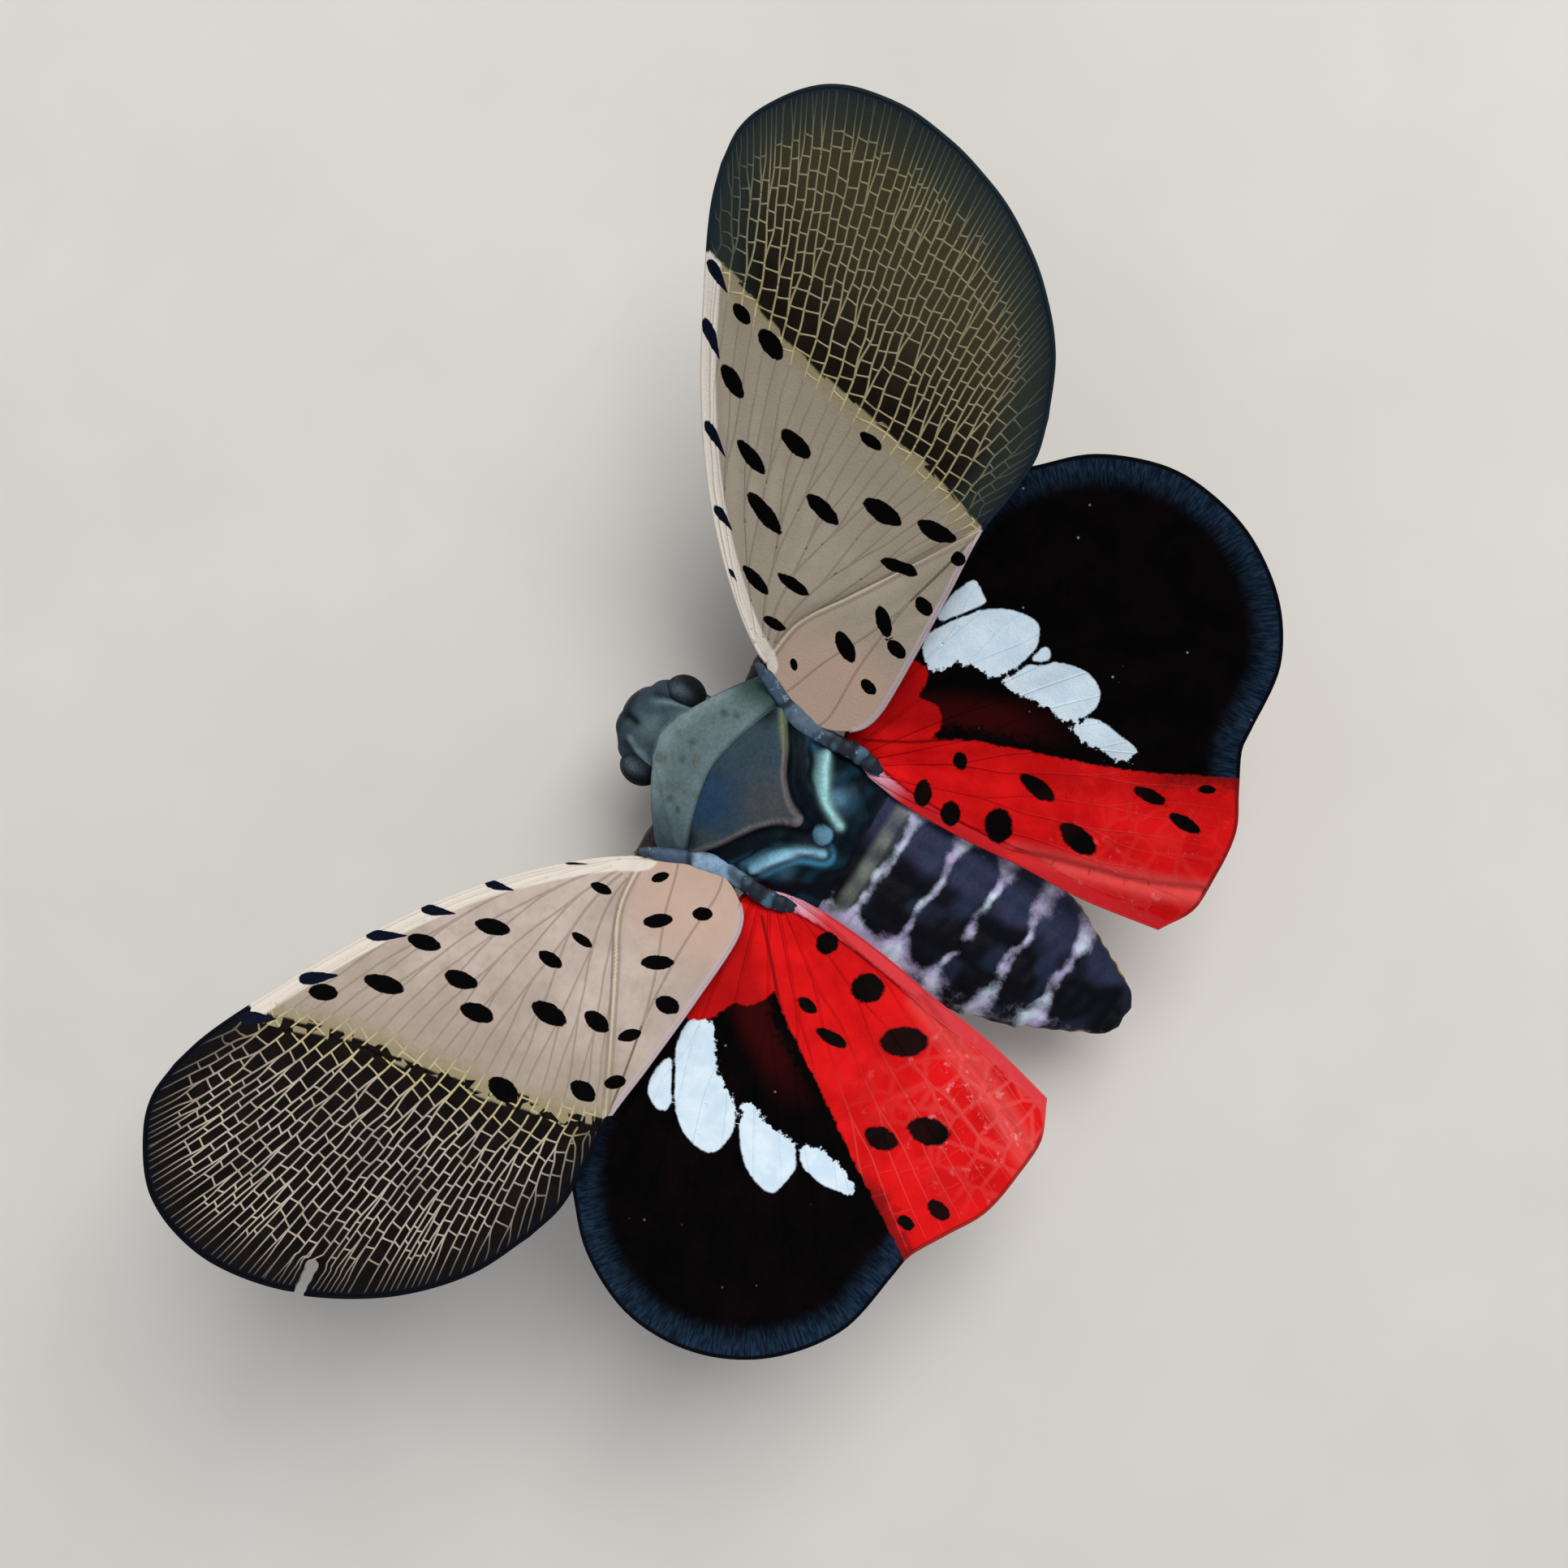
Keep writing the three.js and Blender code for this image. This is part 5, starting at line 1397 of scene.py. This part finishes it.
def hind_values(places, side_name):
    """What the wing's finish goes by, in millimetres: ways into black, white and spots, and from lines."""
    border = curve(BLACK_BORDER[side_name])(np.linspace(0, 1, 60))
    front_side = np.concatenate([border, AROUND_THE_TIP, border[:1]])
    red_root = curve(RED_ROOT[side_name], closed=True)(np.linspace(0, 1, 70))
    black = -0.1 * np.logaddexp(-10 * depth_inside(places, front_side), 10 * depth_inside(places, red_root))
    white = np.max([depth_inside(places, curve(loop, closed=True)(np.linspace(0, 1, 50)))
                    for loop in WHITE_PATCHES[side_name]], axis=0)
    parting = np.min([path_distance(places, curve(line)(np.linspace(0, 1, 20)))[0]
                      for line in PATCH_VEINS[side_name]], axis=0)
    edge, reach = path_distance(places, hind_outline)
    return {
        "black": black,
        "white": np.minimum(white, parting - PATCH_VEIN_HALF_WIDTH),
        "powder": path_distance(places, curve(RAGGED_LINE[side_name])(np.linspace(0, 1, 40)))[0],
        "border": path_distance(places, border)[0],
        "ahead": depth_inside(places, front_side),
        "spot": nearest_oval(places, HIND_SPOTS[side_name]),
        "edge": edge,
        "reach": reach,
        "inner": path_distance(places, hind_inner(np.linspace(0, 1, 50)))[0],
        "fold": path_distance(places, fold_path)[0],
        "far": np.hypot(places[:, 0], places[:, 1]),
    }


def hind_place(q, f):
    """Places at q along the hindwing's veins, 0 root, 2 rim, and f from the leading to the inner edge."""
    return coons(hind_front, hind_inner, hind_base, hind_rim, q / 2, f)


HIND_VEINS = 8
HIND_FORKS = ((0.5, 0.9), (1.2, 1.6))
HIND_CELL_LENGTH = 1.1
HIND_OPEN_RIM = 0.9


def hind_vein_mesh():
    """The forking veins, a few cross-veins in the outer part, and the edge."""
    tree = vein_tree(HIND_VEINS, HIND_FORKS, seed=8)
    share_of = lambda rank, number, q: vein_share(tree, rank, number, q)
    paths, reach = rank_paths(tree, np.full((HIND_VEINS, 1), 0.05), hind_place, share_of, steps=60)
    width = np.interp(reach, [0, 0.8, 1.6, 2], [0.08, 0.055, 0.04, 0.025])
    parts = [tubes(lifted(paths, hind_height), width, 0.8 * width + 0.008)]
    cross = cross_veins(tree, share_of, hind_place, 0.8, HIND_CELL_LENGTH, HIND_OPEN_RIM, seed=9)
    parts.append(tubes(lifted(cross, hind_height), 0.022, 0.03))
    parts.append(tubes(lifted(hind_outline[None, ::2], hind_height), 0.045, 0.045))
    return joined(*parts)


def hind_markings():
    """Node group: the hindwing's colour, and where it is black, from the values stored on the mesh.

    Vein is 1 on a vein and 0 on the membrane; the second input is painted light for a wing facing the lamp:
    how far its outer red pales into a lighter rose."""
    outputs = {"Colour": "Color", "Black": "Float"}
    tree, wire, (vein, pink_light) = new_group("hindwing_markings", ("Vein", "Pink_light"), outputs)
    at = wire.place()
    far, edge, inner, border = (wire.value(label) for label in ("far", "edge", "inner", "border"))
    ragged = wire.noise(at, 5.0, 5.0) - 0.5

    # painted light: where the outer red of a wing facing the lamp pales
    outer = wire.step(far, 5.5, 10.0) * wire.step(inner, 5.5, 1.5) * pink_light
    wrinkle = wire.cells(wire.place(squash=(1, 1, 0)), 1.2, "DISTANCE_TO_EDGE") + ragged * 0.1
    # painted highlight on the curled inner lip
    lip_highlight = wire.mix(wire.step(far, 0.9, 2.4), paint(228, 186, 208),
                        wire.mix(pink_light, paint(190, 16, 20), paint(216, 66, 74)))
    vein_tint = wire.mix(wire.step(far, 5.0, 9.5) * pink_light, paint(150, 9, 12), paint(240, 110, 104))
    x, y, inside = wire.parts("spot")
    spot = wire.step(abs(x) ** 1.9 + abs(y) ** 1.9 + ragged * 0.8, 0.8, 1.14, 1.0, 0.0)
    ink = wire.mix(wire.step(wire.noise(at, 0.45, 2.0), 0.5, 0.66), paint(4, 2, 2), paint(26, 5, 5))
    red = wire.coats(
        wire.mix(wire.step(wire.noise(at, 0.8, 4.0), 0.3, 0.7), paint(196, 12, 15), paint(224, 20, 22)),
        (wire.step(wire.value("ahead"), 0.2, 0.8) * wire.step(far, 5.2, 4.6) * 0.55, paint(140, 6, 8)),
        (wire.step(wire.value("fold"), 0.1, 0.7, 0.3, 0.0), paint(236, 120, 116)),
        (outer * wire.step(wrinkle, 0.02, 0.12, 0.28, 0.0), paint(236, 112, 110)),
        (outer * wire.step(wire.noise(at, 2.6, 5.0), 0.6, 0.72, 0.0, 0.7), paint(240, 168, 172)),
        # painted shadow: a thin dark line beside the curled inner band
        (wire.step(abs(inner - 0.46), 0.0, 0.09, 0.75, 0.0) * wire.step(far, 8.0, 5.0), paint(70, 4, 10)),
        # painted highlight on the curled inner band
        (wire.step(inner + ragged * 0.2, 0.36, 0.46, 0.85, 0.0), lip_highlight),
        (wire.step(border, 0.0, 0.1, 0.8, 0.0) * wire.step(far, 4.5, 3.0), paint(80, 6, 8)),
        (wire.step(border + ragged * 1.2, 0.7, 0.1) * wire.step(far, 8.8, 10.6, 0.0, 0.7),
         paint(84, 12, 12)),
        (vein * 0.28, vein_tint),
        (wire.step(edge, 0.04, 0.12, 0.6, 0.0) * wire.step(inner, 0.5, 1.5), paint(84, 20, 20)),
        (spot * wire.step(inside, -0.06, -0.04), ink))

    maroon = wire.step(far, 7.6, 4.6) * wire.step(border + ragged, 0.2, 0.7) * wire.step(border, 1.9, 1.0)
    across = wire.add("ShaderNodeCombineXYZ", {0: wire.value("reach"), 1: edge * 0.18})
    depth = edge + (wire.noise(across, 8.0, 3.0) - 0.5) * 0.5
    fringe = wire.mix(
        wire.step(wire.noise(across, 12.0, 3.0), 0.35, 0.7), paint(9, 20, 36), paint(32, 52, 72))
    dust = wire.step(wire.cells(at, 1.5), 0.075, 0.055) * wire.step(wire.noise(at, 0.6), 0.5, 0.6)
    powder = ragged * wire.step(wire.value("powder"), 0.25, 0.75, 0.65, 0.12)
    white = wire.mix(
        wire.step(wire.noise(at, 1.4, 5.0), 0.35, 0.7), paint(205, 226, 241), paint(223, 239, 249))
    dark = wire.coats(
        wire.mix(wire.step(wire.noise(at, 0.7, 4.0), 0.4, 0.7), paint(2, 1, 2), paint(9, 3, 5)),
        (maroon, paint(50, 5, 6)),
        (wire.step(depth, 0.3, 1.1, 0.95, 0.0), fringe),
        (wire.step(edge, 0.04, 0.12, 1.0, 0.0), paint(8, 10, 16)),
        (dust * 0.6, paint(150, 160, 170)),
        (wire.step(wire.value("white") + powder, -0.03, 0.04), white))

    black = wire.step(wire.value("black") + ragged * 0.25, -0.04, 0.05)
    wire.give(Colour=wire.mix(black, red, dark), Black=black)
    return tree


def build_hindwings():
    rows, columns = 170, 180
    q, f = np.meshgrid(np.linspace(0, 2, rows), np.linspace(0, 1, columns), indexing="ij")
    flat = hind_place(q, f)
    sheet = leaf(flat, hind_height(flat.reshape(-1, 2)).reshape(rows, columns), MEMBRANE)
    meshes = (sheet, hind_vein_mesh())
    group = hind_markings()
    for name in SIDES:
        new_wing("hindwing", name, meshes, (HIND_HINGE, HIND_RAISED, HIND_TWIST), hind_values,
                 group, {"Pink_light": PINK_LIGHT_BY_SIDE[name]}, "Black", 0.5, (0.2, 1.1, 0.6, 0.85))


build_hindwings()


# Floor, lights and camera
# A plain pale floor under one large soft lamp over the insect's right side and a weaker one
# opposite. The camera looks down on the back, a little from the right.
FLOOR_SIZE = 1.2


def build_floor():
    mesh = bpy.data.meshes.new("floor")
    half = FLOOR_SIZE / 2
    corners = [(-half, -half, 0), (half, -half, 0), (half, half, 0), (-half, half, 0)]
    mesh.from_pydata(corners, [], [(0, 1, 2, 3)])
    floor = bpy.data.objects.new("floor", mesh)
    bpy.context.scene.collection.objects.link(floor)
    material, wire = new_material("floor")
    mottle = wire.noise(wire.place(0.05), 2.0)
    wire.surface(Base_Color=wire.mix(mottle, paint(212, 208, 202), paint(224, 221, 216)), Roughness=0.85)
    mesh.materials.append(material)


build_floor()


def soft_lamp(name, place, size, power, tint):
    """A square lamp of that size in metres, turned towards the insect."""
    lamp = bpy.data.lights.new(name, "AREA")
    lamp.size = size
    lamp.energy = power
    lamp.color = tint
    holder = bpy.data.objects.new(name, lamp)
    away = Matrix.Identity(4)
    z = np.array(place) / np.linalg.norm(place)
    x = np.cross([0, 1, 0], z)
    x /= np.linalg.norm(x)
    for row, values in enumerate(zip(x, np.cross(z, x), z, place)):
        away[row] = values
    holder.matrix_world = away
    bpy.context.scene.collection.objects.link(holder)


soft_lamp("key", (-0.16, -0.02, 0.26), 0.16, 0.72, (1.0, 0.985, 0.96))
soft_lamp("fill", (0.22, 0.12, 0.2), 0.3, 0.12, (0.92, 0.96, 1.0))

world = bpy.data.worlds.new("studio")
world.use_nodes = True
world.node_tree.nodes["Background"].inputs["Color"].default_value = (0.92, 0.95, 1.0, 1.0)
world.node_tree.nodes["Background"].inputs["Strength"].default_value = 0.34
bpy.context.scene.world = world
bpy.context.scene.view_settings.view_transform = "Standard"

IMAGE_SIZE = 1932
FIELD_OF_VIEW = np.radians(40)
BODY_TURN, LEAN = np.radians(32.3), np.radians(6)
AIM = np.array([0.0, 0.0, 0.6])  # point of the body, in millimetres, seen at AIM_PIXEL
AIM_PIXEL = np.array([836, 917])
AIM_SCALE = 38  # pixels to a millimetre there


def build_camera():
    """Camera axes in the body's frame: x to the right, y down and z into the picture."""
    focal = IMAGE_SIZE / 2 / np.tan(FIELD_OF_VIEW / 2)
    c, s = np.cos(BODY_TURN), np.sin(BODY_TURN)
    flat = np.array([[-s, c, 0], [c, s, 0], [0, 0, -1]])
    lean = np.array([[np.cos(LEAN), 0, np.sin(LEAN)], [0, 1, 0], [-np.sin(LEAN), 0, np.cos(LEAN)]])
    axes = flat @ lean
    depth = focal / AIM_SCALE
    seen = np.append((AIM_PIXEL - IMAGE_SIZE / 2) / focal * depth, depth)
    eye = placed(AIM - axes.T @ seen)
    view = bpy.data.cameras.new("camera")
    view.angle = FIELD_OF_VIEW
    view.clip_start = 0.001
    camera = bpy.data.objects.new("camera", view)
    pose = Matrix.Identity(4)
    for row, values in enumerate(zip(axes[0], -axes[1], -axes[2], eye)):
        pose[row] = values
    camera.matrix_world = pose
    bpy.context.scene.collection.objects.link(camera)
    bpy.context.scene.camera = camera


build_camera()
